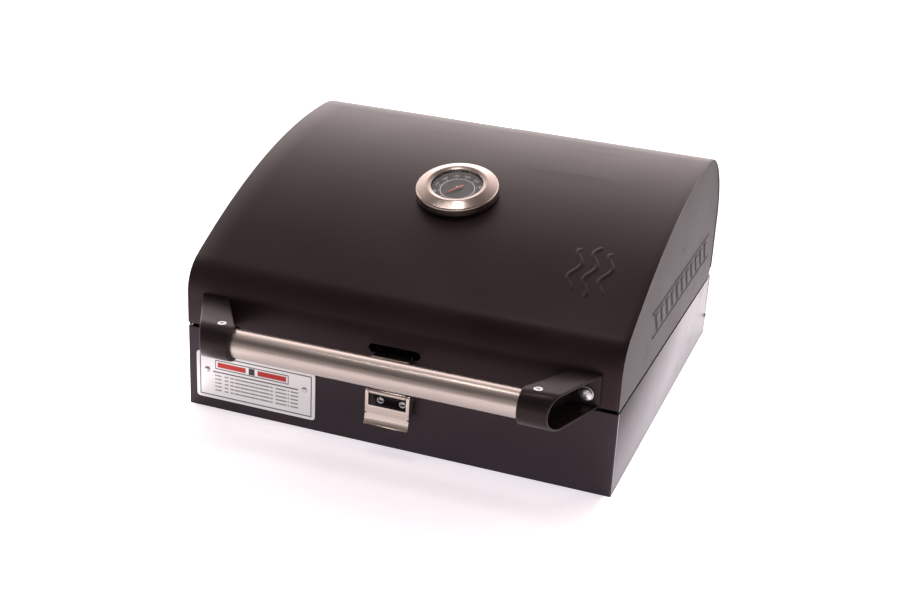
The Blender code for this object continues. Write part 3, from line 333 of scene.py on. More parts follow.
def prism(outline, axis, low, high):
    # A solid with this outline, across the named axis, between two places along it.
    def order(a, b, h):
        return {"X": (h, a, b), "Y": (a, h, b), "Z": (a, b, h)}[axis]

    bm = bmesh.new()
    face = bm.faces.new([bm.verts.new(order(a, b, low)) for a, b in outline])
    grown = bmesh.ops.extrude_face_region(bm, geom=[face])["geom"]
    bmesh.ops.translate(bm, vec=order(0, 0, high - low), verts=vertsIn(grown))
    bmesh.ops.recalc_face_normals(bm, faces=bm.faces)
    return bm


def turned(profile, steps=64, closed=False, place=Matrix()):
    # A profile of (radius, height) spun once round +Z.
    bm = bmesh.new()
    line = [bm.verts.new((radius, 0, height)) for radius, height in profile]
    pairs = list(zip(line, line[1:])) + ([(line[-1], line[0])] if closed else [])
    edges = [bm.edges.new(pair) for pair in pairs]
    bmesh.ops.spin(bm, geom=line + edges, cent=(0, 0, 0), axis=(0, 0, 1), angle=2 * pi, steps=steps,
                   use_merge=True)
    bmesh.ops.remove_doubles(bm, verts=bm.verts, dist=weldDistance)
    bmesh.ops.recalc_face_normals(bm, faces=bm.faces)
    bm.transform(place)
    return bm


def filleted(points, radius, steps=4, closed=True):
    # The same outline with its corners rounded off.
    made = []
    for i, point in enumerate(points):
        if not closed and i in (0, len(points) - 1):
            made.append(point)
            continue
        corner = Vector(point)
        before, after = Vector(points[i - 1]) - corner, Vector(points[(i + 1) % len(points)]) - corner
        reach = min(radius, before.length * 0.48, after.length * 0.48)
        start, end = corner + before.normalized() * reach, corner + after.normalized() * reach
        for k in range(steps + 1):
            t = k / steps
            made.append(tuple(start.lerp(corner, t).lerp(corner.lerp(end, t), t)))
    return made


def arc(centre, radius, start, end, steps):
    turns = [start + (end - start) * i / steps for i in range(steps + 1)]
    return [(centre[0] + radius * cos(a), centre[1] + radius * sin(a)) for a in turns]


def quarterRound(radius, foot, rise, steps):
    # A quarter of an ellipse, from its widest place up towards the axis.
    return [(radius * cos(a), foot + rise * sin(a)) for a in [pi / 2 * i / steps for i in range(steps)]]


def at(x, y, z, turn=Matrix()):
    return Matrix.Translation((x, y, z)) @ turn


def placed(name, data):
    # A new object in the scene.
    obj = bpy.data.objects.new(name, data)
    scene.collection.objects.link(obj)
    return obj


def asMesh(bm):
    # The shape as a mesh; the shape is used up.
    mesh = bpy.data.meshes.new("shape")
    bm.to_mesh(mesh)
    bm.free()
    return mesh


def asShape(mesh):
    # The mesh as a shape; the mesh is used up.
    bm = bmesh.new()
    bm.from_mesh(mesh)
    bpy.data.meshes.remove(mesh)
    return bm


def evaluated(helper):
    # A helper object's mesh after its modifiers; the helper is removed.
    graph = bpy.context.evaluated_depsgraph_get()
    made = bpy.data.meshes.new_from_object(helper.evaluated_get(graph), depsgraph=graph)
    bpy.data.objects.remove(helper)
    return made


def finishedMesh(bm, *modifiers):
    # The shape as a mesh, after the modifiers named by (type, settings).
    mesh = asMesh(bm)
    helper = placed("shape", mesh)
    for kind, settings in modifiers:
        modifier = helper.modifiers.new(kind, kind)
        for key, value in settings.items():
            setattr(modifier, key, value)
    made = evaluated(helper)
    bpy.data.meshes.remove(mesh)
    return made


def carved(bm, *tools, operation="DIFFERENCE"):
    helpers = [placed("tool", asMesh(tool)) for tool in tools]
    cuts = [("BOOLEAN", {"operation": operation, "solver": "EXACT", "object": helper}) for helper in helpers]
    made = finishedMesh(bm, *cuts)
    for helper in helpers:
        used = helper.data
        bpy.data.objects.remove(helper)
        bpy.data.meshes.remove(used)
    return asShape(made)


def cadShape(node):
    # A copy of a frame node with its loose triangles joined up again.
    bm = bmesh.new()
    bm.from_mesh(nodes[node].data)
    bmesh.ops.remove_doubles(bm, verts=bm.verts, dist=weldDistance)
    bmesh.ops.dissolve_limit(bm, angle_limit=radians(0.6), verts=bm.verts, edges=bm.edges)
    return bm


def soften(bm, width, segments=2, angle=30, longest=0.0, where=None):
    # Rounds the edges that turn by more than the angle, so that they catch the light.
    edges = [edge for edge in bm.edges
             if len(edge.link_faces) == 2 and edge.calc_face_angle() > radians(angle)
             and edge.calc_length() > longest and (where is None or where(edge))]
    bmesh.ops.bevel(bm, geom=edges, offset=width, offset_type="OFFSET", segments=segments, profile=0.5,
                    affect="EDGES", clamp_overlap=True, material=-1)
    return bm


def piece(name, shape, finish, node, stands=True, shade=35):
    # Puts a finished shape in the scene: it rides with the node's body, and stands for the node.
    if isinstance(shape, bmesh.types.BMesh):
        shape = finishedMesh(shape)
    shape.name = name
    obj = placed(name, shape)
    shape.materials.clear()
    shape.materials.append(finish.material)
    shape.polygons.foreach_set("use_smooth", [True] * len(shape.polygons))
    shape.set_sharp_from_angle(angle=radians(shade))
    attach(obj, nodes[node]["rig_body"])
    if stands:
        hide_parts(node)


def refined(name, node, finish, *rounding):
    # The frame's own shape, with softened edges.
    piece(name, soften(cadShape(node), *rounding), finish, node)


def block(low, high):
    bm = bmesh.new()
    bmesh.ops.create_cube(bm, size=1)
    bmesh.ops.scale(bm, vec=[b - a for a, b in zip(low, high)], verts=bm.verts)
    bmesh.ops.translate(bm, vec=[(a + b) / 2 for a, b in zip(low, high)], verts=bm.verts)
    return bm


def rod(radius, low, high, place=Matrix(), steps=48):
    bm = bmesh.new()
    bmesh.ops.create_cone(bm, cap_ends=True, segments=steps, radius1=radius, radius2=radius, depth=high - low,
                          matrix=place @ Matrix.Translation((0, 0, (low + high) / 2)))
    return bm


def sliced(bm, point, normal, clear=False):
    bmesh.ops.bisect_plane(bm, geom=bm.verts[:] + bm.edges[:] + bm.faces[:], plane_co=point, plane_no=normal,
                           clear_outer=clear, dist=weldDistance)


# fasteners

def threaded(radius, low, high, pitch):
    # The zigzag of a screw thread, as points of a turned profile.
    turns = max(1, int((high - low) / pitch))
    pitch, root = (high - low) / turns, radius * 0.86
    points = []
    for i in range(turns):
        points += [(root, low + i * pitch), (radius, low + (i + 0.5) * pitch)]
    return points + [(root, high)]


def crossTools(width, blade, depth, place, turn):
    # Two tapered blades that sink a cross recess.
    tools = []
    for quarter in (0, pi / 2):
        bm = block((-width, -blade, -depth), (width, blade, depth))
        for vert in bm.verts:
            if vert.co.z < 0:
                vert.co.x *= 0.45
                vert.co.y *= 0.55
        bm.transform(place @ spun(turn + quarter))
        tools.append(bm)
    return tools


def crossScrew(name, node, place, head, dome, shank, tail, turn):
    # A domed head with a cross recess, or a countersunk one when the dome's height is 0.
    pitch, edge = 0.8 * mm, dome * 0.35
    if dome:
        profile = [*threaded(shank, -tail, -0.2 * mm, pitch), (shank, 0), (head * 0.96, 0),
                   (head, edge * 0.2), *quarterRound(head, edge, dome - edge, 9)]
    else:
        profile = [*threaded(shank, -tail, -2.2 * mm, pitch), (head * 0.98, -0.3 * mm), (head, -0.1 * mm),
                   (head * 0.97, 0)]
    bm = turned([(0, -tail), *profile, (0, dome)], 40, place=place)
    recess = crossTools(head * 0.60, head * 0.15, max(dome, head * 0.42) * 0.7, place @ at(0, 0, dome), turn)
    piece(name, carved(bm, *recess), zincPlate, node, shade=28)


def domedRivet(name, node, place, stands=True, head=2.7 * mm, height=1.4 * mm, tail=2 * mm, shank=1.3 * mm):
    profile = [(0, -tail), (shank, -tail), (shank, 0), (head * 0.97, 0),
               *quarterRound(head, height * 0.12, height * 0.88, 8), (0, height)]
    piece(name, turned(profile, 32, place=place), zincPlate, node, stands)


def nodeCentre(node):
    low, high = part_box(node)
    return (low + high) / 2


def frontHoles(part, y, radius, reach):
    # Drills along Y where the left and the right fastener of this kind stand.
    centres = [nodeCentre(part + side) for side in ("left", "right")]
    return [rod(radius, -reach, reach, at(centre.x, y, centre.z, facingFront)) for centre in centres]


def pin(name, node, rounding, finish):
    # A round bar along X with its end edges taken off.
    low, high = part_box(node)
    radius, half = (high.z - low.z) / 2, (high.x - low.x) / 2
    profile = filleted([(0, -half), (radius, -half), (radius, half), (0, half)], rounding, 3, False)
    piece(name, turned(profile, 32, place=at(*nodeCentre(node), facingRight)), finish, node)


# lid outline

skinLow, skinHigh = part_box("lid_skin")
lid = {
    "frontLift": 8 * mm,                # the front wall's foot stands above the rear wall's
    "frontWall": 29.4 * mm, "frontRadius": 35.3 * mm,      # straight front wall, then the front bend
    "knee": 155.2 * mm, "frontPull": 0.956, "rearPull": 0.322,
    "rearRadius": 88.2 * mm, "bendSteps": 28, "roofSteps": 54,
    "emblemFrom": -123 * mm, "emblemTo": -47 * mm, "emblemSteps": 66,
    "endRecess": 0.6 * mm, "endChamfer": 7 * mm, "endGap": 1.0 * mm,
    "thermoBack": 146.05 * mm, "thermoHole": 5.3 * mm, "screwHole": 2.6 * mm,
}
lidFrontZ = skinLow.z + lid["frontLift"]
bendCentre = (skinLow.y + lid["frontRadius"], lidFrontZ + lid["frontWall"])


def roofEnds():
    top, radius = skinHigh.z, lid["frontRadius"]
    knee = (skinLow.y + lid["knee"], top)
    rise, run = knee[1] - bendCentre[1], knee[0] - bendCentre[0]
    slope = atan2(rise, run) - asin(radius / hypot(rise, run))
    start = (bendCentre[0] - radius * sin(slope), bendCentre[1] + radius * cos(slope))
    end = (skinHigh.y - lid["rearRadius"], top)
    first = [a + lid["frontPull"] * (b - a) for a, b in zip(start, knee)]
    second = [a + lid["rearPull"] * (b - a) for a, b in zip(end, knee)]
    return slope, (start, first, second, end)


def roofAt(t):
    # A point of the roof's curve and its slope.
    p0, p1, p2, p3 = roofEnds()[1]
    u = 1 - t
    axes = list(zip(p0, p1, p2, p3))
    place = [u ** 3 * a + 3 * u * u * t * b + 3 * u * t * t * c + t ** 3 * d for a, b, c, d in axes]
    speed = [u * u * (b - a) + 2 * u * t * (c - b) + t * t * (d - c) for a, b, c, d in axes]
    return place, atan2(speed[1], speed[0])


def roofShare(y):
    low, high = 0.0, 1.0
    for _ in range(40):
        middle = (low + high) / 2
        low, high = (middle, high) if roofAt(middle)[0][0] < y else (low, middle)
    return low


def lidPath(inset, frontZ, rearZ, fine):
    slope = roofEnds()[0]
    radius, steps = lid["frontRadius"], lid["bendSteps"]
    stations = [((skinLow.y, frontZ), pi / 2)]
    for i in range(steps + 1):
        angle = pi / 2 + (slope - pi / 2) * i / steps
        stations.append(((bendCentre[0] - radius * sin(angle), bendCentre[1] + radius * cos(angle)), angle))
    shares = [i / lid["roofSteps"] for i in range(1, lid["roofSteps"])]
    if fine:
        low, high = roofShare(lid["emblemFrom"]), roofShare(lid["emblemTo"])
        shares = [t for t in shares if not low <= t <= high]
        shares += [low + (high - low) * i / lid["emblemSteps"] for i in range(lid["emblemSteps"] + 1)]
    stations += [roofAt(t) for t in sorted(shares)]
    radius = lid["rearRadius"]
    middle = (skinHigh.y - radius, skinHigh.z - radius)
    for i in range(steps + 1):
        angle = -pi / 2 * i / steps
        stations.append(((middle[0] - radius * sin(angle), middle[1] + radius * cos(angle)), angle))
    stations.append(((skinHigh.y, rearZ), -pi / 2))
    return [(y + inset * sin(angle), z - inset * cos(angle)) for (y, z), angle in stations]


def sweep(points, axis, places):
    # Extrudes a line of vertices along one axis, from the first place through the others.
    bm = bmesh.new()
    line = [bm.verts.new(point) for point in points]
    front = [bm.edges.new(pair) for pair in zip(line, line[1:])]
    for a, b in zip(places, places[1:]):
        grown = bmesh.ops.extrude_edge_only(bm, edges=front)["geom"]
        move = Vector((0, 0, 0))
        move[axis] = b - a
        bmesh.ops.translate(bm, vec=move, verts=vertsIn(grown))
        front = [item for item in grown if isinstance(item, bmesh.types.BMEdge)
                 and all(vert in grown for vert in item.verts)]
    return bm


def rows(start, *stops):
    # Places along a line: each stop is where it ends and in how many steps.
    places = []
    for end, steps in stops:
        places += [start + (end - start) * i / steps for i in range(steps)]
        start = end
    return places + [start]


def smooth(value):
    value = min(max(value, 0.0), 1.0)
    return value * value * (3 - 2 * value)


# three rising heat lines pressed into the lid's slope
emblem = {
    "centre": (150.5 * mm, -85 * mm), "spread": 14 * mm, "reach": (27 * mm, 33 * mm, 27 * mm),
    "sway": 3.6 * mm, "wave": 33 * mm, "phase": 0.5, "halfWidth": 2.3 * mm, "height": 0.75 * mm,
    "slope": radians(22.6), "fade": 3 * mm,
}


def emblemHeight(place):
    u, v = place.x - emblem["centre"][0], (place.y - emblem["centre"][1]) / cos(emblem["slope"])
    best = 0.0
    for line, reach in zip((-1, 0, 1), emblem["reach"]):
        middle = line * emblem["spread"] + emblem["sway"] * sin(2 * pi * v / emblem["wave"] + emblem["phase"])
        across = 1 - abs(u - middle) / emblem["halfWidth"]
        along = (reach - abs(v)) / emblem["fade"]
        best = max(best, smooth(across * 1.25) * smooth(along))
    return best * emblem["height"]


def raised(bm, height, direction=None):
    # Presses a relief into a sheet, along its own normals or one direction.
    bm.normal_update()
    for vert, amount, way in [(vert, height(vert.co), direction or vert.normal.copy()) for vert in bm.verts]:
        vert.co += way * amount


slot = {"width": 49.4 * mm, "height": 8.5 * mm, "centre": 12.5 * mm}


def obround(centre, width, height, steps=14):
    half = (width - height) / 2
    return (arc((centre[0] + half, centre[1]), height / 2, -pi / 2, pi / 2, steps)
            + arc((centre[0] - half, centre[1]), height / 2, pi / 2, 3 * pi / 2, steps))


(thermoY, thermoZ), thermoSlope = roofAt(roofShare(skinLow.y + lid["thermoBack"]))
thermoPlace = at(0, thermoY, thermoZ, spun(thermoSlope, "X"))


def buildLidSkin():
    path = lidPath(0, lidFrontZ, skinLow.z, True)
    xs = rows(skinLow.x, (124 * mm, 14), (177 * mm, 48), (skinHigh.x, 4))      # finest at the emblem
    bm = sweep([(xs[0], y, z) for y, z in path], 0, xs)
    bm.normal_update()
    if max(bm.verts, key=lambda vert: vert.co.z).normal.z < 0:
        bmesh.ops.reverse_faces(bm, faces=bm.faces)
    raised(bm, emblemHeight)
    mesh = finishedMesh(bm, ("SOLIDIFY", {"thickness": sheet, "offset": -1.0, "use_even_offset": True}))
    bm = soften(asShape(mesh), 0.28 * mm, 2, 60)
    opening = obround((0, lidFrontZ + slot["centre"]), slot["width"], slot["height"])
    tools = [prism(opening, "Y", skinLow.y - sheet, skinLow.y + 3 * sheet),
             rod(lid["thermoHole"], -10 * mm, 10 * mm, thermoPlace)]
    holes = frontHoles("bracket_nut_", skinLow.y, lid["screwHole"], 8 * mm)
    piece("lidSkin", carved(bm, *tools, *holes), lidPaint, "lid_skin", shade=40)


# a slanted band pressed into each lid end: two long rules with a row of plain leaning bars between them
band = {
    "front": (-61 * mm, 133 * mm), "frontFoot": (-52 * mm, 102 * mm), "rear": (182 * mm, 126 * mm),
    "rule": 2.4 * mm, "bars": 11, "barShare": 0.52, "lean": 0.32, "margin": 6.5 * mm, "height": 0.9 * mm,
    "edge": 1.1 * mm,
    "gridY": (-66 * mm, 188 * mm), "gridZ": (90 * mm, 138 * mm),      # where the grid is fine
}


def bandHeight(place):
    start, foot, end = Vector(band["front"]), Vector(band["frontFoot"]), Vector(band["rear"])
    along = (end - start).normalized()
    across = Vector((-along.y, along.x))
    offset = Vector((place.y, place.z)) - start
    drop = (foot - start).dot(-across)
    u, v = offset.dot(along), -offset.dot(across)            # along the band, and down from its top rule
    lean = (foot - start).dot(along) / drop
    length = (end - start).length
    u -= lean * v
    inside = min(u, length - u)

    def stripe(value, half):
        return smooth((half - abs(value)) / band["edge"] + 0.5)

    ends = smooth(inside / band["edge"])
    rule = band["rule"]
    rules = ends * max(stripe(v - rule, rule / 2), stripe(v - drop + rule, rule / 2))
    pitch = (length - 2 * band["margin"]) / band["bars"]
    phase = (u - band["margin"] - band["lean"] * (v - drop / 2)) / pitch
    middle = (phase - int(phase) - 0.5) * pitch
    if not 0 <= phase < band["bars"]:
        middle = pitch
    bars = stripe(middle, pitch * band["barShare"] / 2) * smooth(
        (drop / 2 - band["margin"] + band["edge"] - abs(v - drop / 2)) / band["edge"])
    return max(rules, bars) * band["height"]


def buildLidEnd(side, name, node):
    inset = sheet + touch
    low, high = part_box(node)
    path = lidPath(inset, low.z, skinLow.z, False)
    baseFront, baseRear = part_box("base_front_panel")[1].z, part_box("base_rear_panel")[1].z
    fall = (baseRear - baseFront) / (skinHigh.y - skinLow.y)

    def seam(y):
        # The lower edge's corner at y: it follows the base's falling rim.
        return y, baseFront + fall * (y - skinLow.y) + lid["endGap"]

    outline = [seam(path[0][0])] + path[1:] + [seam(high.y - lid["endChamfer"])]
    (nearY, farY), (nearZ, farZ) = band["gridY"], band["gridZ"]
    ys = rows(low.y - mm, (nearY, 12), (farY, 188), (high.y + mm, 4))
    zs = rows(low.z - mm, (nearZ, 4), (farZ, 40), (high.z + mm, 10))
    face = side * (skinHigh.x - lid["endRecess"])
    bm = sweep([(face, ys[0], z) for z in zs], 1, ys)
    for a, b in zip(outline, outline[1:] + outline[:1]):
        if hypot(b[0] - a[0], b[1] - a[1]) >= weldDistance:
            sliced(bm, (face, *a), (0, a[1] - b[1], b[0] - a[0]), True)
    bm.normal_update()
    if bm.faces[:][0].normal.x * side < 0:
        bmesh.ops.reverse_faces(bm, faces=bm.faces)
    raised(bm, bandHeight, Vector((side, 0, 0)))
    mesh = finishedMesh(bm, ("SOLIDIFY", {"thickness": sheet, "offset": -1.0}))
    piece(name, mesh, endPaint, node, shade=40)


buildLidSkin()
buildLidEnd(1, "lidEndRight", "lid_end_right")
buildLidEnd(-1, "lidEndLeft", "lid_end_left")
print("lid shell ready")


# base

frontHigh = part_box("base_front_panel")[1]


def isCorner(edge):
    # A wrapped panel's outer upright corners, which are bent and not cut.
    def outermost(place):
        gap = min(abs(place.y - skinLow.y), abs(place.y - skinHigh.y))
        return gap < touch and abs(abs(place.x) - frontHigh.x) < touch

    first, second = [vert.co for vert in edge.verts]
    return abs(first.z - second.z) > mm and outermost(first) and outermost(second)


def buildBase():
    for end in ("front", "rear"):
        node = "base_%s_panel" % end
        bm = soften(cadShape(node), 1.05 * mm, 5, where=isCorner)
        piece("base" + end.title(), soften(bm, 0.22 * mm, 2, 50, 2.5 * mm), basePaint, node)
    for side in ("right", "left"):
        refined("base" + side.title(), "base_%s_panel" % side, basePaint, 0.22 * mm, 2, 35, 2.5 * mm)
    for level in ("grate", "diffuser"):
        for end in ("front", "rear"):
            refined(level + "Ledge" + end.title(), level + "_ledge_" + end, hotSteel, 0.3 * mm)
    for side in ("left", "right"):
        refined("grate" + side.title(), "grate_" + side, castIron, 1.1 * mm, 3)
    for i in range(1, 5):
        refined("heatDiffuser%d" % i, "heat_diffuser_%d" % i, hotSteel, 0.3 * mm, 2, 15)


def buildRivets():
    for side, sign in (("left", -1), ("right", 1)):
        centre, turn = nodeCentre("rear_rivet_" + side), spun(sign * pi / 2, "Y")
        domedRivet("rearRivet" + side.title(), "rear_rivet_" + side,
                   at(sign * (frontHigh.x + touch), centre.y, centre.z, turn))
        centre = nodeCentre("label_rivet_" + side)
        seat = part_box("label_plate")[0].y - touch
        domedRivet("labelRivet" + side.title(), "label_rivet_" + side,
                   at(centre.x, seat, centre.z, facingFront))


# rating plate: silver sheet, a thin border, blank entry lines and plain blocks of tone, with no lettering
label = {"corner": 4 * mm, "ink": (0.035, 0.033, 0.034, 1), "accent": (0.42, 0.018, 0.014, 1),
         "silver": (0.80, 0.79, 0.78, 1), "shade": (0.66, 0.65, 0.65, 1)}
plateLow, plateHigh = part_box("label_plate")


def labelFinish():
    finish = Finish("printedPlate", "plate_aluminium", {"Metallic": 0.35})
    x, y, z = finish.split()
    width, height = plateHigh.x - plateLow.x, plateHigh.z - plateLow.z
    u, v = (x - plateLow.x) / width, (z - plateLow.z) / height

    def within(value, low, high, edge=0.004):
        return finish.step(value, low - edge, low + edge) * (1 - finish.step(value, high - edge, high + edge))

    def area(left, right, bottom, top):
        return within(u, left, right, 0.0025) * within(v, bottom, top, 0.008)

    border = area(0.028, 0.972, 0.06, 0.94) * (1 - area(0.036, 0.964, 0.082, 0.918))
    bands = area(0.16, 0.78, 0.66, 0.86) * (1 - area(0.166, 0.774, 0.68, 0.84))
    accent = area(0.18, 0.42, 0.705, 0.815) + area(0.52, 0.76, 0.705, 0.815)
    mark = area(0.445, 0.495, 0.69, 0.83)
    rule = area(0.14, 0.86, 0.585, 0.61)
    line = finish.step(abs(v * 12.5 - finish.maths("FLOOR", v * 12.5) - 0.5), 0.20, 0.15)
    breaks = finish.step(finish.noise(1, 1, finish.stretched((210, 1, 0.4))), 0.36, 0.42)
    lines = line * breaks * area(0.14, 0.86, 0.16, 0.56)
    ink = finish.maths("MINIMUM", border + bands + mark + rule + lines * 0.75, 1.0)
    grain = finish.noise(1, 2, finish.stretched((30, 30, 2600)))
    scuff = finish.step(finish.noise(120, 5, roughness=0.7), 0.58, 0.75)
    metal = finish.mix(grain * 0.5 + scuff * 0.4, label["silver"], label["shade"])
    return finish.paint(
        colour=finish.mix(ink, finish.mix(accent, metal, label["accent"]), label["ink"]),
        rough=0.30 + scuff * 0.15 + (grain - 0.5) * 0.12 + ink * 0.12,
        normal=finish.bump(grain + ink * 3, 0.003 * mm))


def buildLabel():
    low, high = plateLow, plateHigh
    corners = [(low.x, low.z), (high.x, low.z), (high.x, high.z), (low.x, high.z)]
    bm = soften(prism(filleted(corners, label["corner"], 8), "Y", high.y, low.y), 0.16 * mm, 2, 60)
    holes = frontHoles("label_rivet_", low.y, 1.6 * mm, 4 * mm)
    piece("ratingPlate", carved(bm, *holes), labelFinish(), "label_plate")


buildBase()
buildRivets()
buildLabel()
print("base ready")


# latch

def buildLatch():
    for part, finish in (("plate", basePaint), ("lever", latchSteel), ("claw", latchSteel)):
        refined("latch" + part.title(), "latch_" + part, finish, 0.25 * mm, 2, 40, 0.7 * mm)
    pin("latchLeverPin", "latch_lever_pin", 0.4 * mm, latchSteel)
    pin("latchClawPin", "latch_claw_pin", 0.4 * mm, latchSteel)
    dome = 2 * mm
    for side, turn in (("left", 0.35), ("right", 1.0)):
        node = "latch_screw_" + side
        centre, seat = nodeCentre(node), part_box(node)[0].y + dome
        crossScrew("latchScrew" + side.title(), node, at(centre.x, seat, centre.z, facingFront),
                   3.4 * mm, dome, 1.6 * mm, 4.2 * mm, turn)


buildLatch()
print("latch ready")


# handle

tubeLow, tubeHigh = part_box("handle_tube")
tube = {"radius": (tubeHigh.z - tubeLow.z) / 2, "wall": 1.2 * mm, "steps": 96}
tubeCentre = (tubeLow + tubeHigh) / 2
bracket = {
    "nose": 17 * mm, "wall": 2.2 * mm, "web": 3 * mm, "width": 26.4 * mm, "skew": 30 * mm,
    "noseX": 145.7 * mm,
    "footLow": 1.2 * mm, "footHigh": 32 * mm, "socket": 20 * mm, "socketEnd": 2 * mm, "socketWall": 1.8 * mm,
    "outerRound": 1.5 * mm, "rimRound": 0.9 * mm,
    "countersink": [(0, -9), (1.8, -9), (1.8, -2.5), (4.3, -0.6), (4.3, 1), (0, 1)],
}


def buildTube():
    outer, inner = tube["radius"], tube["radius"] - tube["wall"]
    half = (tubeHigh.x - tubeLow.x) / 2
    profile = filleted([(inner, -half), (outer, -half), (outer, half), (inner, half)], 0.3 * mm, 3)
    bm = turned(profile, tube["steps"], True, at(*tubeCentre, facingRight))
    piece("handleTube", bm, tubeSteel, "handle_tube")


def lean(bm, side):
    # Leans the foot outwards: the inner side bends at the tube's axis, the open side is one plane.
    sliced(bm, (0, tubeCentre.y, 0), (0, 1, 0))
    reach, nose = skinLow.y - tubeCentre.y, bracket["nose"]
    for vert in bm.verts:
        outward = (side * vert.co.x - bracket["noseX"]) / bracket["width"] + 0.5
        innerLean = max(vert.co.y - tubeCentre.y, 0) / reach
        outerLean = (vert.co.y - tubeCentre.y + nose) / (reach + nose)
        vert.co.x += side * bracket["skew"] * (innerLean + (outerLean - innerLean) * outward)


def buildBracket(side, name, node):
    noseX = side * bracket["noseX"]
    inner, outer = noseX - side * bracket["width"] / 2, noseX + side * bracket["width"] / 2

    def lies(x):
        return lambda edge: all(abs(vert.co.x - x) < touch for vert in edge.verts)

    footY = skinLow.y - touch
    outline = [(footY, lidFrontZ + bracket["footLow"]), (footY, lidFrontZ + bracket["footHigh"])]
    outline += arc((tubeCentre.y, tubeCentre.z), bracket["nose"], pi / 2, 3 * pi / 2, 40)
    bm = prism(outline, "X", inner, outer)
    cap = [face for face in bm.faces if face.normal.x * side > 0.9]
    bmesh.ops.inset_region(bm, faces=cap, thickness=bracket["wall"], use_even_offset=True)
    grown = bmesh.ops.extrude_face_region(bm, geom=cap)["geom"]
    bmesh.ops.delete(bm, geom=[face for face in cap if face.is_valid], context="FACES_ONLY")
    bmesh.ops.translate(bm, vec=(-side * (bracket["width"] - bracket["web"]), 0, 0), verts=vertsIn(grown))
    bmesh.ops.recalc_face_normals(bm, faces=bm.faces)
    soften(bm, bracket["outerRound"], 4, 40, where=lies(inner))
    soften(bm, bracket["rimRound"], 3, 40, where=lies(outer))
    lean(bm, side)
    axis = at(0, tubeCentre.y, tubeCentre.z, facingRight)
    bore = tube["radius"] + touch
    reaches = (bracket["web"] / 2, bracket["socket"] + bracket["socketEnd"])
    ends = sorted(inner + side * reach for reach in reaches)
    boss = rod(bore + bracket["socketWall"], *ends, axis, 72)
    bm = carved(bm, boss, operation="UNION")
    centre = nodeCentre("bracket_nut_right")
    footHole = at(side * centre.x, skinLow.y, centre.z, facingFront)
    screwTop = at(noseX, tubeCentre.y, tubeCentre.z + bracket["nose"])
    ends = sorted((inner - side * 2 * mm, inner + side * bracket["socket"]))
    bm = carved(bm, rod(bore, *ends, axis, 72), rod(lid["screwHole"], -12 * mm, 12 * mm, footHole),
                turned(inMm(bracket["countersink"]), 40, place=screwTop))
    piece(name, bm, blackCasting, node, shade=38)


def buildHandle():
    buildTube()
    for side, sign, turns in (("left", -1, (0.5, 0.2)), ("right", 1, (0.9, 0.65))):
        title = side.title()
        buildBracket(sign, "handleBracket" + title, "handle_bracket_" + side)
        centre, seat = nodeCentre("bracket_nut_" + side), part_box("bracket_washer_" + side)[0].y - touch
        crossScrew("bracketScrew" + title, "bracket_screw_" + side, at(centre.x, seat, centre.z, facingFront),
                   6.4 * mm, 3.6 * mm, 2.3 * mm, 12.3 * mm, turns[0])
        crossScrew("handleScrew" + title, "handle_screw_" + side,
                   at(sign * bracket["noseX"], tubeCentre.y, tubeCentre.z + bracket["nose"]),
                   4 * mm, 0, 1.5 * mm, 9 * mm, turns[1])
        for part in ("washer", "nut"):
            node = "bracket_%s_%s" % (part, side)
            refined("bracket" + part.title() + title, node, zincPlate, 0.2 * mm, 2, 40)


buildHandle()
print("handle ready")


# thermometer

# profiles are lists of (radius, height) in mm above the lid, along the thermometer's axis
thermo = {
    "steps": 128, "dialTop": 6.2 * mm, "ring": (15.7 * mm, 16.5 * mm), "ticks": (17.0 * mm, 18.8 * mm),
    "minorTicks": 17.9 * mm, "majorHalf": 0.36 * mm, "minorHalf": 0.16 * mm, "numerals": 21.3 * mm,
    "numeralSize": 4.0 * mm, "firstNumber": 50, "numberStep": 10, "first": radians(-126.6),
    "sweep": radians(-260), "marks": 26, "perMajor": 3, "ink": 0.06 * mm,
    "gasket": [(5.3, 0.3), (36.5, 0.3), (36.5, 1.3), (5.3, 1.3)],
    "bezel": [(27.3, 1.6), (38.2, 1.6), (39, 2.4), (39, 8.8), (38.2, 9.85), (29.8, 12.75), (28.2, 13.2),
              (24.4, 12.0), (24.4, 11.4), (27.3, 11.4)],
    "case": [(5.3, 1.6), (27, 1.6), (27, 11.1), (26, 11.1), (26, 2.6), (5.3, 2.6)],
    "dial": [(0.9, 5.4), (25.7, 5.4), (25.7, 6.2), (0.9, 6.2)],
    "lens": [(0, 9.6), (25.4, 9.6), (25.7, 9.9), *quarterRound(25.7, 10.1, 0.7, 12), (0, 10.8)],
    "stem": [(0, -48), (2.4, -48), (2.4, 2.6), (4.7, 2.6), (5, 2.3), (5, -0.4),
             *reversed(threaded(5, -9.4, -0.5, 1.0)),
             (4.2, -10), (3.2, -10), (3.2, -48.6), (2.0, -49.8), (0, -50)],
}
bezelSteel = ringedFinish("bezelSteel", (0.50, 0.41, 0.365, 1), 0.22, thermoPlace, 0.35 * mm, 0.006 * mm)
stemSteel = ringedFinish("stemSteel", (0.62, 0.60, 0.57, 1), 0.24, thermoPlace, 0.5 * mm, 0.004 * mm)


def dialFinish():
    finish = Finish("dialBlack", "dial_face", {"Specular IOR Level": 0.4})
    grain = finish.noise(900, 2)
    fade = finish.noise(60, 2)
    return finish.paint(
        colour=finish.mix(finish.step(fade, 0.3, 0.7), (0.055, 0.052, 0.052, 1), (0.075, 0.071, 0.069, 1)),
        rough=0.5 + (grain - 0.5) * 0.2, normal=finish.bump(grain, 0.01 * mm))


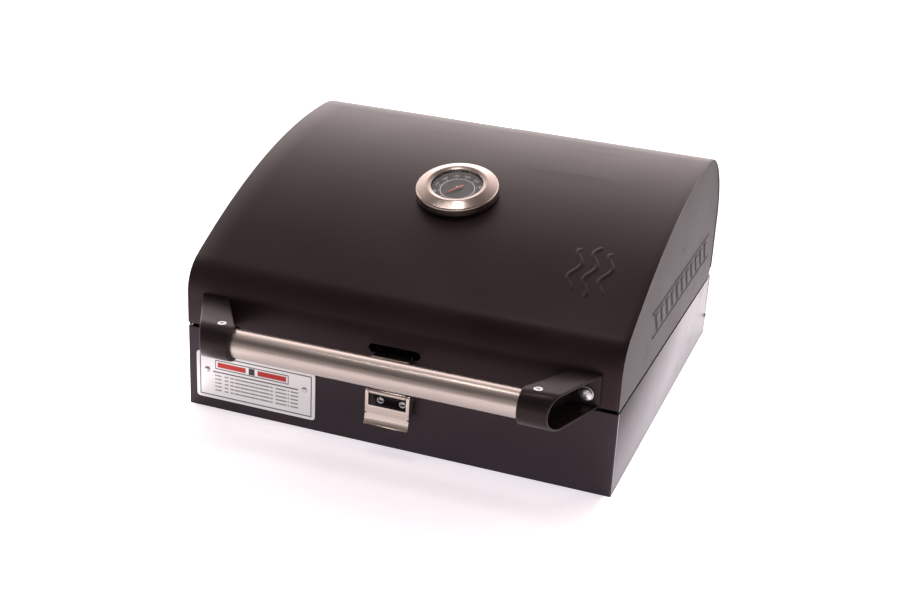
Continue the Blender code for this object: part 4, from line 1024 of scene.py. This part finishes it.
def glassFinish():
    # Clear where it faces the eye, mirror-like at a slant, with faint dust.
    finish = Finish("lensGlass", "lens_glass", {"Base Color": (0.9, 0.9, 0.9, 1), "Metallic": 1.0})
    dust = finish.step(finish.noise(420, 4, roughness=0.7), 0.62, 0.8)
    finish.paint(rough=0.03 + dust * 0.3)
    clear = finish.node("BsdfTransparent")
    fresnel = finish.wire("Fresnel", {}, {"IOR": 1.5})
    front = 1 - finish.wire("NewGeometry", output="Backfacing")
    mixer = finish.node("MixShader", {}, {0: (fresnel * 0.8 + dust * 0.03) * front})
    finish.tree.links.new(clear.outputs[0], mixer.inputs[1])
    finish.tree.links.new(finish.shader.outputs[0], mixer.inputs[2])
    output = next(n for n in finish.tree.nodes if n.type == "OUTPUT_MATERIAL")
    finish.tree.links.new(mixer.outputs[0], output.inputs["Surface"])
    return finish


def flatNumeral(text, size, place):
    curve = bpy.data.curves.new("numeral", "FONT")
    curve.body, curve.size, curve.align_x, curve.align_y = text, size, "CENTER", "CENTER"
    curve.extrude, curve.resolution_u, curve.offset = thermo["ink"] / 2, 3, size * 0.012
    bm = asShape(evaluated(placed("numeral", curve)))
    bmesh.ops.remove_doubles(bm, verts=bm.verts, dist=weldDistance)
    bm.transform(place)
    return bm


def dialMarks():
    low, high = thermo["dialTop"], thermo["dialTop"] + thermo["ink"]
    inner, outer = thermo["ring"]
    shapes = [turned([(inner, low), (outer, low), (outer, high), (inner, high)], thermo["steps"], True)]
    for i in range(thermo["marks"] + 1):
        angle = thermo["first"] + thermo["sweep"] * i / thermo["marks"]
        major = i % thermo["perMajor"] == 0
        end = thermo["ticks"][1] if major else thermo["minorTicks"]
        half = thermo["majorHalf"] if major else thermo["minorHalf"]
        tick = block((thermo["ticks"][0], -half, low), (end, half, high))
        tick.transform(spun(angle))
        shapes.append(tick)
        if major:
            spot = (thermo["numerals"] * cos(angle), thermo["numerals"] * sin(angle), (low + high) / 2)
            turn = spun(angle - pi / 2)
            number = str(thermo["firstNumber"] + thermo["numberStep"] * i)
            shapes.append(flatNumeral(number, thermo["numeralSize"], at(*spot, turn)))
    bm = bmesh.new()
    for mesh in [asMesh(shape) for shape in shapes]:
        bm.from_mesh(mesh)
        bpy.data.meshes.remove(mesh)
    bm.transform(thermoPlace)
    return bm


def buildThermometer():
    for name, part, rounding, finish in (
            ("gasketRing", "gasket", 0.3, gasketRubber), ("bezelRing", "bezel", 0.7, bezelSteel),
            ("thermometerCase", "case", 0.4, stemSteel), ("dialPlate", "dial", 0.12, dialFinish())):
        bm = turned(filleted(inMm(thermo[part]), rounding * mm, 5), thermo["steps"], True, thermoPlace)
        piece(name, bm, finish, "thermometer_" + part, shade=50)
    lens = turned(inMm(thermo["lens"]), thermo["steps"], False, thermoPlace)
    piece("lens", lens, glassFinish(), "thermometer_lens", shade=50)
    stem = turned(inMm(thermo["stem"]), 64, False, thermoPlace)
    piece("thermometerStem", stem, stemSteel, "thermometer_stem")
    refined("thermometerNut", "thermometer_nut", zincPlate, 0.5 * mm, 3, 40, 2 * mm)
    white = speckledFinish("dialInk", "dial_face", (0.90, 0.88, 0.86, 1), (0.70, 0.68, 0.66, 1), 0.5)
    piece("dialMarks", dialMarks(), white, "thermometer_dial", stands=False)
    nodes["bimetal_coil"].data.materials.clear()
    nodes["bimetal_coil"].data.materials.append(hotSteel.material)


# pointer, in mm: half its outline from the tip to the tail, the heights of its sheet and its hub's profile
pointer = {
    "outline": [(12.5, 0.3), (7, 0.9), (2.5, 1.5), (0, 2.0), (-2.5, 1.6), (-6.3, 1.5), (-6.8, 0.9)],
    "sheet": (7.1 * mm, 7.7 * mm), "bore": 0.9 * mm,
    "hub": [(0, -46), (0.6, -46), (0.6, 8), (1.7, 8), (1.8, 8.1), *quarterRound(1.8, 8.3, 0.6, 6), (0, 8.9)],
}


def buildPointer():
    outline = pointer["outline"] + [(x, -y) for x, y in reversed(pointer["outline"])]
    bm = soften(prism(inMm(outline), "Z", *pointer["sheet"]), 0.15 * mm, 2, 60)
    bm.transform(thermoPlace @ spun(thermo["first"]))
    bm = carved(bm, rod(pointer["bore"], 0, 9 * mm, thermoPlace))
    red = speckledFinish("pointerRed", "pointer_red", (0.62, 0.10, 0.035, 1), (0.45, 0.06, 0.025, 1), 0.36)
    piece("pointerNeedle", bm, red, "pointer")
    piece("pointerHub", turned(inMm(pointer["hub"]), 40, False, thermoPlace), bezelSteel, "pointer_spindle")


buildThermometer()
buildPointer()
print("thermometer ready")


# hinges

def buildHinges():
    for side in ("left", "right"):
        title, pinLow = side.title(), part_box("hinge_pin_" + side)[0].z
        for part, way in (("base", -1), ("lid", 1)):
            node = "%s_hinge_leaf_%s" % (part, side)
            refined(part + "HingeLeaf" + title, node, zincPlate, 0.25 * mm, 2, 40, 2 * mm)
            low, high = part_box(node)
            middle = (low.z + pinLow) / 2 - mm if part == "base" else (high.z + pinLow) / 2 + 3 * mm
            for i, share in enumerate((-0.36, 0, 0.36)):      # the middle rivet stands further from the pin
                z = middle + (4 if i == 1 else 0) * mm * way
                x = (low.x + high.x) / 2 + share * (high.x - low.x)
                place = at(x, skinHigh.y + 2 * mm, z, spun(-pi / 2, "X"))
                domedRivet("%sHingeRivet%s%d" % (part, title, i + 1), node, place, False, 2.6 * mm, 1.3 * mm,
                           1.2 * mm)
        pin("hingePin" + title, "hinge_pin_" + side, 0.35 * mm, zincPlate)


buildHinges()
print("hinges ready")


# studio

studio = {
    "floor": 14.0, "paper": 0.86, "glow": 0.64, "table": (1.0, 0.935, 0.99, 1),
    # patch: the floor's painted light, a brighter glowing strip beside each side of the box
    "patch": 1.3, "lightStripX": (0.33, 0.24), "lightStripY": (-0.55, -0.12), "brightest": 2.0,
    "under": (0.195, 0.15, 0.205),      # floor hidden by the box: half its width, to the front, to the rear
    "room": 0.12, "ceiling": 0.14, "warmth": (1.0, 0.90, 0.885, 1),
    "sweep": 2.9, "sweepTop": radians(75), "sweepFoot": radians(28), "wall": 0.32, "wallTop": radians(27),
}


def buildFloor():
    bm = bmesh.new()
    bmesh.ops.create_grid(bm, x_segments=1, y_segments=1, size=studio["floor"])
    floor = placed("floor", asMesh(bm))
    paper = Finish("floorPaper", None, {
        "Roughness": 0.9, "Specular IOR Level": 0.1, "Emission Strength": studio["brightest"]})
    paler, tone = [(value, value, value, 1) for value in (studio["paper"] + 0.02, studio["paper"])]
    x, y, z = paper.split()
    out, fore, aft = studio["under"]
    shaded = paper.step(abs(x), out + 0.01, out - 0.02) * paper.step(y, -fore - 0.01, -fore + 0.02)
    shaded = shaded * paper.step(y, aft + 0.01, aft - 0.02)      # no light under the box
    patch = paper.step(abs(x), *studio["lightStripX"]) * paper.step(abs(x), out, out + 0.02)
    patch = patch * paper.step(y, *studio["lightStripY"])      # painted light: a brighter glowing strip on the floor along each side of the box
    # the floor glows evenly, plus the painted light strips, and gives no light under the box
    glow = (patch * studio["patch"] + studio["glow"]) * (1 - shaded)
    paper.paint(colour=paper.mix(paper.noise(3, 2), tone, paler),
                glow=paper.mix(glow / studio["brightest"], (0, 0, 0, 1), studio["table"]))
    floor.data.materials.append(paper.material)


def buildWorld():
    # A dim room with a bright sweep of paper behind the object.
    world = bpy.data.worlds.new("studio")
    world.use_nodes = True
    scene.world = world
    sky = Graph(world.node_tree, "Generated")
    x, y, z = sky.split()
    height = sky.maths("ARCSINE", z)
    behind = sky.step(y + abs(x) * 0.15, 0.0, 0.85)
    low = sky.step(height, studio["sweepTop"], studio["sweepFoot"])
    wall = sky.step(height, studio["wallTop"] + 0.12, studio["wallTop"] - 0.08) * sky.step(-1 * y, 0.0, 0.35)
    light = studio["room"] + sky.step(z, 0.5, 1.0) * studio["ceiling"] + low * behind * studio["sweep"]
    light = light + wall * studio["wall"]
    background = next(n for n in sky.tree.nodes if n.type == "BACKGROUND")
    sky.feed(background.inputs["Color"], studio["warmth"])
    sky.feed(background.inputs["Strength"], light)


def buildLamps():
    lamps = (   # name, place, what it faces, size, power, colour
        ("topBox", (-0.14, -0.10, 1.65), (0, 0, 0.15), (0.14, 0.16), 1.7, (1.0, 0.95, 0.92)),
        ("topStrip", (-0.50, -0.22, 1.65), (-0.50, -0.22, 0.15), (0.50, 0.05), 1.0, (1.0, 0.95, 0.94)),
        ("leftBox", (-1.7, 0.3, 1.1), (0, 0, 0.1), (0.5, 0.7), 4.0, (1.0, 0.92, 0.87)),
        ("frontFill", (0.7, -2.0, 0.9), (0, 0, 0.1), (0.5, 0.5), 2.0, (1.0, 0.94, 0.92)),
    )
    for name, place, target, size, power, colour in lamps:
        lamp = bpy.data.lights.new(name, "AREA")
        lamp.shape, lamp.size, lamp.size_y = "RECTANGLE", size[0], size[1]
        lamp.energy, lamp.color = power, colour
        turn = (Vector(target) - Vector(place)).to_track_quat("-Z", "Y").to_matrix().to_4x4()
        placed(name, lamp).matrix_world = at(*place, turn)


camera = {
    "place": (0.45290, -1.30505, 0.68196), "lens": 61.94,
    "right": (0.93486, 0.35194, 0.04661), "down": (0.18070, -0.35868, -0.91580),
    "forward": (-0.30559, 0.86457, -0.39891),
}


def buildCamera():
    eye = bpy.data.cameras.new("camera")
    eye.lens, eye.sensor_width, eye.sensor_fit = camera["lens"], 36, "HORIZONTAL"
    eye.clip_start = 0.01
    holder = placed("camera", eye)
    up, back = [[-c for c in camera[way]] for way in ("down", "forward")]
    holder.matrix_world = at(*camera["place"], Matrix((camera["right"], up, back)).transposed().to_4x4())
    scene.camera = holder


buildFloor()
buildWorld()
buildLamps()
buildCamera()
scene.view_settings.view_transform = "Standard"
scene.view_settings.look = "None"
print("studio ready")
